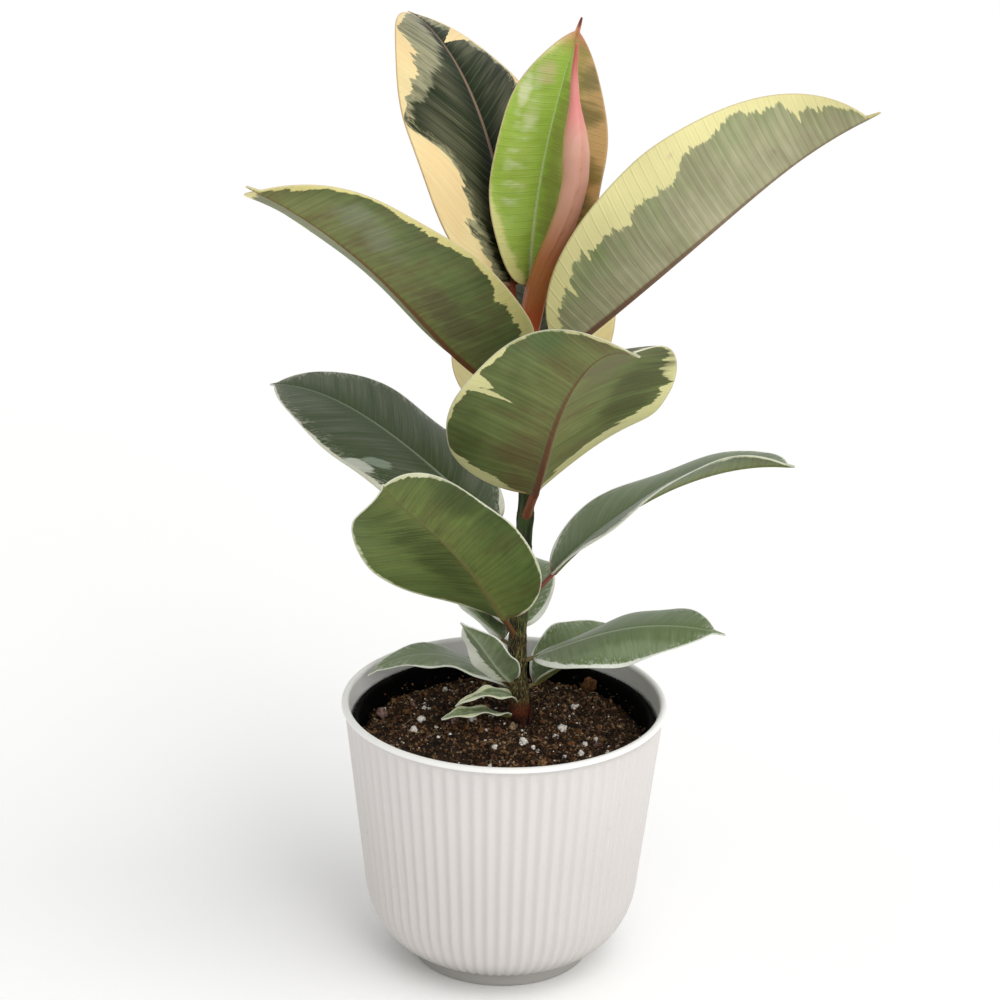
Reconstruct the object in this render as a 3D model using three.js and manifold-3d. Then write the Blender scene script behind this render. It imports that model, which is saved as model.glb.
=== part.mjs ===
// Potted tineke rubber plant: a variegated Ficus elastica in a black nursery pot, inside a ribbed cover pot.
// Millimetres, +Z up. The object stands on z = 0, and the pot's axis is the Z axis.
import * as THREE from 'three';
import { mergeVertices } from 'three/addons/utils/BufferGeometryUtils.js';
import Module from 'manifold-3d';

const wasm = await Module();
wasm.setup();

// Driving dimensions
const FIT_GAP = 0.3; // clearance between pieces that touch

const POT = {
  height: 123,
  rimRadius: 72.5,
  rimBand: 2.6, // height of the lip round the rim
  neckRadius: 71.2, // just under the lip
  taperEnd: { r: 61.9, z: 40.7 }, // where the straight side turns into the shoulder
  shoulder: { r: 60.2, z: 13.3 }, // control point of the shoulder's curve
  foot: { r: 39.9, z: 5.8 }, // crease above the foot band
  wall: 3.4,
  floor: 10.5,
  ribs: 72,
  ribDepth: 1.1,
};

const NURSERY = {
  rimHeight: 114.6,
  rimRadius: 67.3,
  bottomRadius: 41,
  wall: 1.5,
  lip: 1.1,
  sides: 48,
};

const SOIL = {
  edgeHeight: 105.5,
  mound: 4.2, // rise from the edge to the stem
  lump: 0.9, // height of the uneven surface
  sides: 48,
};

const STEM = {
  // points of the stem's axis: x, y, z
  axis: [
    [7.4, 8.0, 60],
    [7.6, 8.0, 105],
    [5.2, 8.0, 145],
    [6.0, 7.5, 170],
    [8.0, 6.5, 216],
    [7.8, 6.0, 250],
    [6.8, 5.5, 294],
  ],
  bottom: 74,
  top: 290,
  bottomRadius: 4.1,
  topRadius: 3.3,
  flare: 0.5, // extra radius at the soil
  nodeSwell: 0.35, // extra radius at a leaf's node
  rowStep: 9,
  sides: 12,
};

const SHEATH = {
  // the rolled red sheath of the next leaf: x, z and radius up its axis, which leans back at a constant rate
  sections: [
    [7.2, 290.3, 3.9],
    [7.8, 296, 4.6],
    [9.2, 306, 4.9],
    [11.0, 314, 5.1],
    [14.8, 326, 5.2],
    [19.9, 338, 5.4],
    [23.6, 349, 5.4],
    [26.0, 361, 5.6],
    [26.0, 373, 5.8],
    [25.6, 381, 5.0],
    [24.8, 394, 2.3],
    [24.3, 408, 1.3],
    [25.0, 420, 0.6],
  ],
  depth: 5.5,
  lean: 0.03,
  sides: 16,
};

const BLADE = {
  thickness: 0.8,
  drip: 0.05, // share of the length that is the narrow drip tip, where a leaf gives no other
  tail: [2, 0.45], // half width of the tapering drip tip, from a length before it to its end
  widest: 0.48, // where along the blade it is widest
  baseCurve: 2.4,
  tipCurve: 1.9,
  wave: 0.9, // height of the waves along the edge
  waves: 2.5,
  midrib: 0.45, // half width of the midrib at its thinnest
  columns: [0, 'rib', 0.4, 0.72, 1], // places across each half of the blade
};

// The leaves, from the top of the stem down. height is the node's place on the stem, seat is the bearing and
// distance from the stem's axis where the petiole starts, and petiole is its length and radius. Each list of
// angles, in degrees, is spread evenly along the leaf: bearing is counterclockwise from +X, rise is above
// level, roll turns the blade about its midrib, fold lifts each half at the midrib, and curl bends it on
// towards its edge.
const LEAVES = [
  {
    name: 'leaf_01', height: 287, seat: [93, 5.8], petiole: [25, 1.9], length: 118, width: 62,
    bearing: [90, 72, 61, 56], rise: [86, 73, 64, 59], roll: [15, 19, 23],
    foldLeft: [47, 49], foldRight: [31, 29], curlLeft: [11, 8, 22], curlRight: [-5, -6, -3],
  },
  {
    name: 'leaf_02', height: 285, seat: [163, 5.8], petiole: [28, 1.9], length: 147, width: 88, drip: 0.02,
    bearing: [111, 118, 122, 120], rise: [86, 68, 42, 3], roll: [22, 18, 17],
    foldLeft: [3, 9], foldRight: [-1, 6], curlLeft: [-6, -20, -2], curlRight: [-9, -16, -23],
  },
  {
    name: 'leaf_03', height: 274, seat: [0, 0], petiole: [20, 2.1], length: 194, width: 98,
    bearing: [355, 342, 333, 293], rise: [40, 44, 43, 26], roll: [-21, -24, -28],
    foldLeft: [26, 40], foldRight: [25, 40], curlLeft: [5, 5, 6], curlRight: [15, 4, -6],
  },
  {
    name: 'leaf_04', height: 265, seat: [0, 0], petiole: [18, 2.0], length: 186, width: 93,
    bearing: [226, 218, 221, 246], rise: [24, 47, 39, 25], roll: [19, 16, 20],
    foldLeft: [20, 17], foldRight: [21, 18], curlLeft: [13, -9, -16], curlRight: [31, 6, 2],
  },
  {
    name: 'leaf_05', height: 239, seat: [0, 0], petiole: [18, 1.7], length: 126, width: 77,
    bearing: [94, 88, 86, 86], rise: [42, 32, 23, 11], roll: [-8, -8, -4],
    foldLeft: [-5, 0], foldRight: [2, 6], curlLeft: [-21, -25, -11], curlRight: [-12, -9, -6],
  },
  {
    name: 'leaf_06', height: 207, seat: [0, 0], petiole: [24, 2.0], length: 175, width: 94,
    bearing: [283, 281, 291, 289], rise: [47, 50, 40, 7], roll: [14, -3, -17],
    foldLeft: [24, 16], foldRight: [21, 19], curlLeft: [-20, -36, -6], curlRight: [-2, -32, -2],
  },
  {
    name: 'leaf_07', height: 191, seat: [0, 0], petiole: [18, 1.5], length: 136, width: 66, drip: 0.02,
    bearing: [146, 144, 146, 141], rise: [31, 27, 16, -14], roll: [-2, -5, -17],
    foldLeft: [0, 8], foldRight: [1, 13], curlLeft: [-19, -15, -14], curlRight: [-10, -29, -36],
  },
  {
    name: 'leaf_08', height: 160, seat: [0, 0], petiole: [25, 1.1], length: 132, width: 52, drip: 0.03,
    bearing: [3, -3, -20, -48], rise: [59, 42, 27, 11], roll: [6, -1, -10],
    foldLeft: [22, 22], foldRight: [20, 34], curlLeft: [-6, -33, -10], curlRight: [-8, -34, -7],
  },
  {
    name: 'leaf_09', height: 148, seat: [0, 0], petiole: [18, 1.4], length: 167, width: 66, drip: 0.03,
    bearing: [234, 243, 242, 269], rise: [55, 44, 38, 29], roll: [11, 36, 54],
    foldLeft: [6, 3], foldRight: [6, -4], curlLeft: [5, -37, -38], curlRight: [-8, -7, 95],
  },
  {
    name: 'leaf_10', height: 145, seat: [0, 0], petiole: [10, 1.0], length: 81, width: 39,
    bearing: [96, 93, 85, 76], rise: [35, 14, -4, -19], roll: [7, 4, 3],
    foldLeft: [10, 11], foldRight: [7, 9], curlLeft: [1, 1, 0], curlRight: [1, 3, 1],
  },
  {
    name: 'leaf_11', height: 143, seat: [0, 0], petiole: [9, 0.9], length: 53, width: 31,
    bearing: [143, 142, 147, 155], rise: [20, 29, 29, 27], roll: [9, 9, 6],
    foldLeft: [17, 18], foldRight: [12, 14], curlLeft: [6, 13, 3], curlRight: [-7, -4, -2],
  },
  {
    name: 'leaf_12', height: 137, seat: [0, 0], petiole: [8, 1.1], length: 92, width: 45,
    bearing: [354, 349, 338, 332], rise: [26, 24, 12, -3], roll: [-7, 10, 21],
    foldLeft: [-4, -1], foldRight: [-2, -4], curlLeft: [-15, -20, -9], curlRight: [-16, -28, -8],
  },
  {
    name: 'leaf_13', height: 126, seat: [0, 0], petiole: [7, 0.9], length: 45, width: 23,
    bearing: [228, 220, 216, 216], rise: [35, 51, 55, 44], roll: [27, 20, 18],
    foldLeft: [8, 18], foldRight: [-3, 9], curlLeft: [-6, -4, 4], curlRight: [-15, -2, -1],
  },
  {
    name: 'leaf_14', height: 123, seat: [0, 0], petiole: [8, 1.0], length: 64, width: 40,
    bearing: [16, 41, 63, 78], rise: [26, 16, 4, -6], roll: [-16, -6, 3],
    foldLeft: [17, 19], foldRight: [22, 19], curlLeft: [5, 10, 9], curlRight: [15, 11, 7],
  },
  {
    name: 'leaf_15', height: 120, seat: [0, 0], petiole: [8, 0.9], length: 70, width: 30,
    bearing: [134, 156, 180, 201], rise: [22, 17, -6, -36], roll: [28, 6, -4],
    foldLeft: [1, 3], foldRight: [-13, 3], curlLeft: [-11, -11, -7], curlRight: [-33, 5, -6],
  },
  {
    name: 'leaf_16', height: 115, seat: [0, 0], petiole: [6, 0.8], length: 33, width: 11,
    bearing: [236, 218, 201, 185], rise: [66, 28, -5, -37], roll: [-17, -2, 11],
    foldLeft: [10, 11], foldRight: [13, 9], curlLeft: [-4, -5, -1], curlRight: [1, -7, -4],
  },
  {
    name: 'leaf_17', height: 111, seat: [0, 0], petiole: [6, 0.8], length: 34, width: 11,
    bearing: [212, 207, 204, 203], rise: [20, 16, 4, -14], roll: [17, 2, -9],
    foldLeft: [10, 11], foldRight: [7, 13], curlLeft: [-2, -1, 1], curlRight: [-6, 6, 3],
  },
];

const LARGE_LEAF = 100; // a leaf at least this long has more rows
const BLADE_ROWS = { large: 14, small: 9 };

// Materials
function material(color, roughness) {
  return new THREE.MeshStandardMaterial({ color, roughness, metalness: 0 });
}

const MATERIALS = {
  pot: material('#dedad5', 0.45),
  nursery: material('#141414', 0.55),
  soil: material('#2b1b10', 0.95),
  stem: material('#4a4a26', 0.7),
  sheath: material('#cf7f72', 0.4),
  youngLeaf: material('#8fb544', 0.3),
  upperLeaf: material('#44583a', 0.35),
};

// Helpers
const radians = THREE.MathUtils.degToRad;

function lerp(a, b, t) {
  return a + (b - a) * t;
}

// A smooth curve through values that are spread evenly over 0 to 1
function spline(values, s) {
  const last = values.length - 1;
  const place = Math.min(Math.max(s, 0), 1) * last;
  const i = Math.min(Math.floor(place), last - 1);
  const f = place - i;
  const b = values[i];
  const c = values[i + 1];
  const a = i === 0 ? 2 * b - c : values[i - 1];
  const d = i === last - 1 ? 2 * c - b : values[i + 2];
  return 0.5 * (2 * b + (c - a) * f + (2 * a - 5 * b + 4 * c - d) * f * f + (3 * b - a - 3 * c + d) * f ** 3);
}

// The point of the stem's axis at a height
function stemAxis(z) {
  const points = STEM.axis;
  let i = 0;
  while (i < points.length - 2 && z > points[i + 1][2]) i += 1;
  const [x0, y0, z0] = points[i];
  const [x1, y1, z1] = points[i + 1];
  const t = (z - z0) / (z1 - z0);
  return new THREE.Vector3(lerp(x0, x1, t), lerp(y0, y1, t), z);
}

function closedGeometry(points, triangles) {
  const geometry = new THREE.BufferGeometry();
  const numbers = points.flatMap((p) => p.toArray());
  const outward = signedVolume(points, triangles) < 0 ? triangles.map(([a, b, c]) => [a, c, b]) : triangles;
  geometry.setAttribute('position', new THREE.Float32BufferAttribute(numbers, 3));
  geometry.setIndex(outward.flat());
  return geometry;
}

function signedVolume(points, triangles) {
  const cross = new THREE.Vector3();
  const volume = ([a, b, c]) => points[a].dot(cross.crossVectors(points[b], points[c]));
  return triangles.reduce((sum, triangle) => sum + volume(triangle), 0);
}

// A closed skin through loops with the same number of points, with a cap at each end. The second half of a loop
// runs back under the first, and its cells are split like those above them.
function loft(loops) {
  const n = loops[0].length;
  const points = loops.flat();
  const triangles = [];
  for (let i = 0; i < loops.length - 1; i += 1) {
    for (let j = 0; j < n; j += 1) {
      const k = (j + 1) % n;
      const [a, b, c, d] = [i * n + j, i * n + k, (i + 1) * n + k, (i + 1) * n + j];
      if (j < n / 2) triangles.push([a, b, c], [a, c, d]);
      else triangles.push([a, b, d], [b, c, d]);
    }
  }
  [0, loops.length - 1].forEach((i) => {
    const centre = new THREE.Vector3();
    loops[i].forEach((p) => centre.addScaledVector(p, 1 / n));
    points.push(centre);
    for (let j = 0; j < n; j += 1) {
      const pair = [i * n + ((j + 1) % n), i * n + j];
      if (i > 0) pair.reverse();
      triangles.push([points.length - 1, ...pair]);
    }
  });
  return closedGeometry(points, triangles);
}

// A solid of revolution about Z from rows of radius, height and number of sides, starting and ending on the
// axis. A row may shift each of its points outwards and up, and its sides may halve or double from one row to
// the next.
function revolve(rows) {
  const points = [];
  const triangles = [];
  const rings = rows.map(({ r, z, sides, shift }) => {
    const count = r === 0 ? 1 : sides;
    return Array.from({ length: count }, (_, i) => {
      const angle = (2 * Math.PI * i) / count;
      const [out, up] = shift ? shift(angle) : [0, 0];
      points.push(new THREE.Vector3((r + out) * Math.cos(angle), (r + out) * Math.sin(angle), z + up));
      return points.length - 1;
    });
  });
  for (let i = 0; i < rings.length - 1; i += 1) triangles.push(...strip(rings[i], rings[i + 1]));
  return closedGeometry(points, triangles);
}

function strip(a, b) {
  const at = (ring, i) => ring[i % ring.length];
  const out = [];
  if (a.length === 1) return b.map((p, i) => [a[0], at(b, i + 1), p]);
  if (b.length === 1) return a.map((p, i) => [p, at(a, i + 1), b[0]]);
  if (a.length === b.length) {
    a.forEach((p, i) => out.push([p, at(a, i + 1), at(b, i + 1)], [p, at(b, i + 1), b[i]]));
  } else if (a.length > b.length) {
    b.forEach((p, i) => out.push(
      [a[2 * i], a[2 * i + 1], p],
      [a[2 * i + 1], at(b, i + 1), p],
      [a[2 * i + 1], at(a, 2 * i + 2), at(b, i + 1)],
    ));
  } else {
    strip(b, a).forEach(([p, q, r]) => out.push([p, r, q]));
  }
  return out;
}

// Cutting one closed mesh with another
function solidOf(geometry) {
  const plain = geometry.clone();
  plain.deleteAttribute('normal');
  plain.deleteAttribute('uv');
  const merged = mergeVertices(plain, 1e-4);
  return new wasm.Manifold(new wasm.Mesh({
    numProp: 3,
    vertProperties: new Float32Array(merged.attributes.position.array),
    triVerts: new Uint32Array(merged.index.array),
  }));
}

function geometryOf(solid) {
  const { vertProperties, triVerts } = solid.getMesh();
  const geometry = new THREE.BufferGeometry();
  geometry.setAttribute('position', new THREE.Float32BufferAttribute(vertProperties, 3));
  geometry.setIndex(new THREE.Uint32BufferAttribute(triVerts, 1));
  return geometry;
}

function cut(geometry, ...tools) {
  return geometryOf(tools.reduce((solid, tool) => solid.subtract(solidOf(tool)), solidOf(geometry)));
}

// Cover pot
function shoulderPoint(t) {
  const { taperEnd, shoulder, foot } = POT;
  const along = (key) => (1 - t) ** 2 * taperEnd[key] + 2 * t * (1 - t) * shoulder[key] + t * t * foot[key];
  return { r: along('r'), z: along('z') };
}

// Radius of the pot's outside on its straight side
function taperRadius(z) {
  const neck = POT.height - POT.rimBand;
  return lerp(POT.taperEnd.r, POT.neckRadius, (z - POT.taperEnd.z) / (neck - POT.taperEnd.z));
}

function coverPot() {
  const { height, rimRadius, rimBand, neckRadius, taperEnd, foot, wall, floor, ribs, ribDepth } = POT;
  const neck = height - rimBand;
  const ribbed = (share) => ({
    sides: 2 * ribs,
    shift: (angle) => [(-ribDepth * share * (1 - Math.cos(ribs * angle))) / 2, 0],
  });
  const plain = { sides: ribs };
  const outside = [
    { r: 0, z: 0 },
    { r: foot.r - 1.2, z: 0, ...plain },
    { r: foot.r, z: 1.2, ...plain },
    { r: foot.r - 0.4, z: foot.z - 0.9, ...plain },
    { ...foot, ...ribbed(0.2) },
    ...[0.85, 0.65, 0.45, 0.2].map((t) => ({ ...shoulderPoint(t), ...ribbed(1) })),
    { ...taperEnd, ...ribbed(1) },
    { r: taperRadius(neck - 3), z: neck - 3, ...ribbed(1) },
    { r: neckRadius, z: neck - 0.4, ...ribbed(0) },
  ];
  const rim = [
    { r: rimRadius - 0.3, z: neck, ...plain },
    { r: rimRadius, z: height - 1.8, ...plain },
    { r: rimRadius - 0.9, z: height - 0.4, ...plain },
    { r: rimRadius - 2, z: height, ...plain },
    { r: rimRadius - 3.1, z: height - 0.5, ...plain },
    { r: rimRadius - wall, z: height - 2, ...plain },
  ];
  const inside = [
    { r: taperEnd.r - wall, z: taperEnd.z, ...plain },
    { r: taperEnd.r - wall - 2.5, z: 26, ...plain },
    { r: 51, z: 14.5, ...plain },
    { r: 44, z: floor, ...plain },
    { r: 0, z: floor },
  ];
  return revolve([...outside, ...rim, ...inside]);
}

// Nursery pot
function nurseryPot() {
  const { rimHeight, rimRadius, bottomRadius, wall, lip, sides } = NURSERY;
  const bottom = POT.floor + FIT_GAP;
  const lipBottom = rimHeight - 4;
  return revolve([
    { r: 0, z: bottom },
    { r: bottomRadius, z: bottom, sides },
    { r: bottomRadius + 3, z: bottom + 4, sides },
    { r: rimRadius - lip, z: lipBottom, sides },
    { r: rimRadius, z: lipBottom + 0.5, sides },
    { r: rimRadius, z: rimHeight - 0.4, sides },
    { r: rimRadius - 0.6, z: rimHeight, sides },
    { r: rimRadius - lip - wall, z: rimHeight - 0.5, sides },
    { r: rimRadius - lip - wall, z: lipBottom, sides },
    { r: bottomRadius + 3 - wall, z: bottom + 4, sides },
    { r: bottomRadius + 0.6 - wall, z: bottom + wall, sides },
    { r: 0, z: bottom + wall },
  ]);
}

// Radius of the soil against the nursery pot's inside
function soilRadius(z) {
  const { rimHeight, rimRadius, bottomRadius, wall, lip } = NURSERY;
  const low = POT.floor + FIT_GAP + 4;
  const share = (z - low) / (rimHeight - 4 - low);
  return lerp(bottomRadius + 3, rimRadius - lip, share) - wall - FIT_GAP;
}

// Soil
function soilHeight(r, angle) {
  const { edgeHeight, mound, lump } = SOIL;
  const edge = soilRadius(edgeHeight);
  const dome = mound * (1 - (r / edge) ** 2);
  const bumps = Math.sin(3 * angle + r / 9) * Math.cos(r / 7 + 1) + 0.6 * Math.sin(7 * angle - r / 6);
  return edgeHeight + dome + lump * bumps * Math.min(1, r / 20);
}

function soilBody(stemHole) {
  const { sides, edgeHeight } = SOIL;
  const floor = POT.floor + 2 * FIT_GAP + NURSERY.wall;
  const edge = soilRadius(edgeHeight);
  const surface = [0.97, 0.82, 0.66, 0.5, 0.34, 0.18].map((share) => {
    const r = share * edge;
    return { r, z: 0, sides, shift: (angle) => [0, soilHeight(r, angle)] };
  });
  const body = revolve([
    { r: 0, z: floor },
    { r: NURSERY.bottomRadius - NURSERY.wall - FIT_GAP - 0.6, z: floor, sides },
    { r: soilRadius(floor + 3), z: floor + 3, sides },
    { r: soilRadius(edgeHeight - 1.8), z: edgeHeight - 1.8, sides },
    ...surface,
    { r: 0, z: soilHeight(0, 0) },
  ]);
  return cut(body, stemHole);
}

// Stem
function stemRadius(z) {
  const { bottomRadius, topRadius, bottom, top, flare, nodeSwell } = STEM;
  const base = lerp(bottomRadius, topRadius, (z - bottom) / (top - bottom));
  const soilTop = SOIL.edgeHeight + SOIL.mound;
  const foot = flare * Math.exp(-(((z - soilTop) / 9) ** 2));
  const nodes = LEAVES.reduce((sum, { height }) => Math.max(sum, Math.exp(-(((z - height) / 3) ** 2))), 0);
  return base + foot + nodeSwell * nodes;
}

// The stem, or the space it needs when extra is the clearance around it
function stemBody(extra) {
  const { bottom, top, rowStep, sides } = STEM;
  const rows = Math.round((top - bottom) / rowStep);
  const loops = Array.from({ length: rows + 1 }, (_, i) => {
    const z = lerp(bottom - extra, top + extra, i / rows);
    const centre = stemAxis(z);
    return Array.from({ length: sides }, (__, j) => {
      const angle = (2 * Math.PI * j) / sides;
      const r = stemRadius(z) + extra;
      return new THREE.Vector3(centre.x + r * Math.cos(angle), centre.y + r * Math.sin(angle), z);
    });
  });
  return loft(loops);
}

// Sheath
function sheathBody() {
  const { sections, depth, lean, sides } = SHEATH;
  const base = sections[0][1];
  return loft(sections.map(([x, z, r]) => Array.from({ length: sides }, (_, j) => {
    const angle = (2 * Math.PI * j) / sides;
    return new THREE.Vector3(x + r * Math.cos(angle), depth + lean * (z - base) + r * Math.sin(angle), z);
  })));
}

// Leaves
// Half width of a blade, as a share of its widest
function bladeProfile(s, drip) {
  const { widest, baseCurve, tipCurve } = BLADE;
  const along = Math.min(s / (1 - drip), 1);
  if (along < widest) return Math.sqrt(1 - ((widest - along) / widest) ** baseCurve);
  return (1 - ((along - widest) / (1 - widest)) ** tipCurve) ** 0.85;
}

// Half width of the drip tip, which the blade's outline runs into
function tailHalf(s, drip) {
  return lerp(...BLADE.tail, Math.max(0, (s - 1) / (2 * drip) + 1));
}

// Directions of the leaf at a share of its whole length: along, to the left and out of its upper face
function leafFrame(leaf, share, bladeShare) {
  const bearing = radians(spline(leaf.bearing, share));
  const rise = radians(spline(leaf.rise, share));
  const roll = radians(spline(leaf.roll, bladeShare));
  const along = new THREE.Vector3(
    Math.cos(rise) * Math.cos(bearing), Math.cos(rise) * Math.sin(bearing), Math.sin(rise),
  );
  const left = new THREE.Vector3(-Math.sin(bearing), Math.cos(bearing), 0);
  const up = new THREE.Vector3().crossVectors(along, left);
  return {
    along,
    left: left.clone().multiplyScalar(Math.cos(roll)).addScaledVector(up, Math.sin(roll)),
    up: up.clone().multiplyScalar(Math.cos(roll)).addScaledVector(left, -Math.sin(roll)),
  };
}

// The midrib's points at even steps from the root to the tip
function leafPath(leaf, steps) {
  const total = leaf.petiole[0] + leaf.length;
  const [bearing, distance] = leaf.seat;
  const root = stemAxis(leaf.height);
  root.x += distance * Math.cos(radians(bearing));
  root.y += distance * Math.sin(radians(bearing));
  const path = [root];
  for (let i = 0; i < steps; i += 1) {
    const { along } = leafFrame(leaf, (i + 0.5) / steps, 0);
    path.push(path[i].clone().addScaledVector(along, total / steps));
  }
  return path;
}

// The place and the surface angle at a distance from the midrib, across one half of the blade
function crossSection(fold, curl, distance, halfWidth) {
  const turn = (curl + 2e-4) / halfWidth;
  const angle = fold + turn * distance;
  return {
    out: (Math.sin(angle) - Math.sin(fold)) / turn,
    up: (Math.cos(fold) - Math.cos(angle)) / turn,
    angle,
  };
}

// A row's loop of points: the upper face from the left edge to the right, then the lower face back
function bladeLoop(leaf, s, centre, frame, phase) {
  const { thickness, wave, waves, midrib, columns } = BLADE;
  const drip = leaf.drip ?? BLADE.drip;
  const widest = leaf.width / 2;
  const half = Math.max(widest * bladeProfile(s, drip), tailHalf(s, drip));
  const rib = Math.min(Math.max(midrib, leaf.petiole[1] * (1 - s) ** 1.2), 0.35 * half);
  const above = [];
  const below = [];
  ['Left', 'Right'].forEach((name, which) => {
    const side = which === 0 ? 1 : -1;
    const fold = radians(spline(leaf[`fold${name}`], s));
    const curl = radians(spline(leaf[`curl${name}`], s));
    const places = which === 0 ? [...columns].reverse() : columns.slice(1);
    places.forEach((column) => {
      const distance = column === 'rib' ? rib : column * half;
      const { out, up, angle } = crossSection(fold, curl, distance, widest);
      const edge = distance / half;
      const turns = 2 * Math.PI * waves * s + phase + which * 1.9;
      const ripple = wave * (half / widest) * edge ** 2 * Math.sin(turns);
      const flat = column === 0 ? 0 : angle;
      const across = -Math.sin(flat) * side;
      const outwards = Math.cos(flat);
      const place = centre.clone().addScaledVector(frame.left, side * out).addScaledVector(frame.up, up);
      const offset = (amount) => place.clone()
        .addScaledVector(frame.left, across * amount).addScaledVector(frame.up, outwards * amount);
      above.push(offset(ripple + thickness / 2));
      below.unshift(offset(ripple - thickness / 2 - (column === 0 ? 1.5 * rib : 0)));
    });
  });
  return [...above, ...below];
}

function petioleLoop(centre, frame, radius) {
  const count = 2 * BLADE.columns.length - 1;
  const place = (angle) => centre.clone()
    .addScaledVector(frame.left, radius * Math.cos(angle))
    .addScaledVector(frame.up, 0.85 * radius * Math.sin(angle));
  const angles = Array.from({ length: count }, (_, i) => radians(10 + (160 * i) / (count - 1)));
  return [...angles.map((a) => place(a)), ...angles.map((a) => place(a + Math.PI))];
}

function leafBody(leaf, index) {
  const [petioleLength, radius] = leaf.petiole;
  const rows = BLADE_ROWS[leaf.length >= LARGE_LEAF ? 'large' : 'small'];
  const total = petioleLength + leaf.length;
  const steps = 80;
  const path = leafPath(leaf, steps);
  const pointAt = (share) => {
    const i = Math.min(Math.floor(share * steps), steps - 1);
    return path[i].clone().lerp(path[i + 1], share * steps - i);
  };
  const phase = index * 2.4;
  const petiole = [0, 0.5, 1].map((part) => {
    const share = (part * petioleLength) / total;
    return petioleLoop(pointAt(share), leafFrame(leaf, share, 0), radius * lerp(1.15, 1, part));
  });
  const blade = Array.from({ length: rows }, (_, i) => {
    const s = (1 - Math.cos((Math.PI * (i + 1)) / rows)) / 2;
    const share = (petioleLength + s * leaf.length) / total;
    return bladeLoop(leaf, s, pointAt(share), leafFrame(leaf, share, s), phase);
  });
  return loft([...petiole, ...blade]);
}

// Assembly
function named(name, geometry, look) {
  const mesh = new THREE.Mesh(geometry, look);
  mesh.name = name;
  return mesh;
}

const plant = new THREE.Group();
const stemSpace = stemBody(FIT_GAP);
plant.add(
  named('cover_pot', coverPot(), MATERIALS.pot),
  named('nursery_pot', nurseryPot(), MATERIALS.nursery),
  named('soil', soilBody(stemSpace), MATERIALS.soil),
  named('stem', stemBody(0), MATERIALS.stem),
  named('sheath', sheathBody(), MATERIALS.sheath),
);
LEAVES.forEach((leaf, i) => {
  const look = i === 0 ? MATERIALS.youngLeaf : MATERIALS.upperLeaf;
  plant.add(named(leaf.name, cut(leafBody(leaf, i), stemSpace), look));
});

export default plant;
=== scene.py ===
"""Looks for the potted tineke rubber plant. Sizes are in millimetres, and mesh_object makes them metres."""
import math
import random

import bmesh
import bpy
import numpy as np
from mathutils import Matrix, Vector, noise


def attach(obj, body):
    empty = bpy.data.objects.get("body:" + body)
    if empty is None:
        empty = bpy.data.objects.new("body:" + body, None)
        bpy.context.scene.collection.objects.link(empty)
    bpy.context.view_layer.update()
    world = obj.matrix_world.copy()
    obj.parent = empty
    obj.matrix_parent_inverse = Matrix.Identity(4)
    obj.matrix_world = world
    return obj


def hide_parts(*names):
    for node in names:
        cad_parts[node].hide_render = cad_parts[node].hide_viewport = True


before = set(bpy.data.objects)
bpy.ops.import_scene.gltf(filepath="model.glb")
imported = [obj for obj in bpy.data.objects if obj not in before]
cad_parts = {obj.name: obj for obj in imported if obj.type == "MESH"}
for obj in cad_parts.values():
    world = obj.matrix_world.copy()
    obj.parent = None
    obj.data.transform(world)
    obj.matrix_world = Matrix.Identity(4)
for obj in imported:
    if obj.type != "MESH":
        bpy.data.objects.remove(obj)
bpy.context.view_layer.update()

MM = 0.001
draw = random.Random(7)

# Camera, from the picture's own perspective
PICTURE = 1000  # pixels a side
SENSOR = 36.0
CAMERA = {"distance": 1600, "pitch": 21.4, "roll": 1.07, "focal_pixels": 3672, "target": (-3.6, 0, 218.1)}

# Sizes that the CAD model has too
POT = {
    "height": 123, "rim_radius": 72.5, "rim_band": 2.6, "neck_radius": 71.2, "taper_end": (61.9, 40.7),
    "shoulder": (60.2, 13.3), "foot": (39.9, 5.8), "wall": 3.4, "floor": 10.5, "ribs": 72, "rib_depth": 1.1,
}
NURSERY = {"rim_height": 114.6, "rim_radius": 67.3, "bottom_radius": 41, "wall": 1.5, "lip": 1.1}
SOIL = {"edge_height": 105.5, "edge_radius": 62.5, "mound": 4.2, "lump": 0.9}
STEM_AXIS = [
    (7.4, 8.0, 60), (7.6, 8.0, 105), (5.2, 8.0, 145), (6.0, 7.5, 170), (8.0, 6.5, 216), (7.8, 6.0, 250),
    (6.8, 5.5, 294),
]
STEM = {"bottom": 74, "top": 290, "bottom_radius": 4.1, "top_radius": 3.3, "flare": 0.5, "node_swell": 0.35}
SHEATH = [
    (7.2, 290.3, 3.9), (7.8, 296, 4.6), (9.2, 306, 4.9), (11.0, 314, 5.1), (14.8, 326, 5.2),
    (19.9, 338, 5.4), (23.6, 349, 5.4), (26.0, 361, 5.6), (26.0, 373, 5.8), (25.6, 381, 5.0),
    (24.8, 394, 2.3), (24.3, 408, 1.3), (25.0, 420, 0.6),
]  # x, z and radius
SHEATH_DEPTH = 5.5
SHEATH_LEAN = 0.03
BLADE = {
    "thickness": 0.8, "drip": 0.05, "tail": (2, 0.45), "widest": 0.48, "base_curve": 2.4, "tip_curve": 1.9,
    "wave": 0.9, "waves": 2.5, "midrib": 0.45,
}

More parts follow.
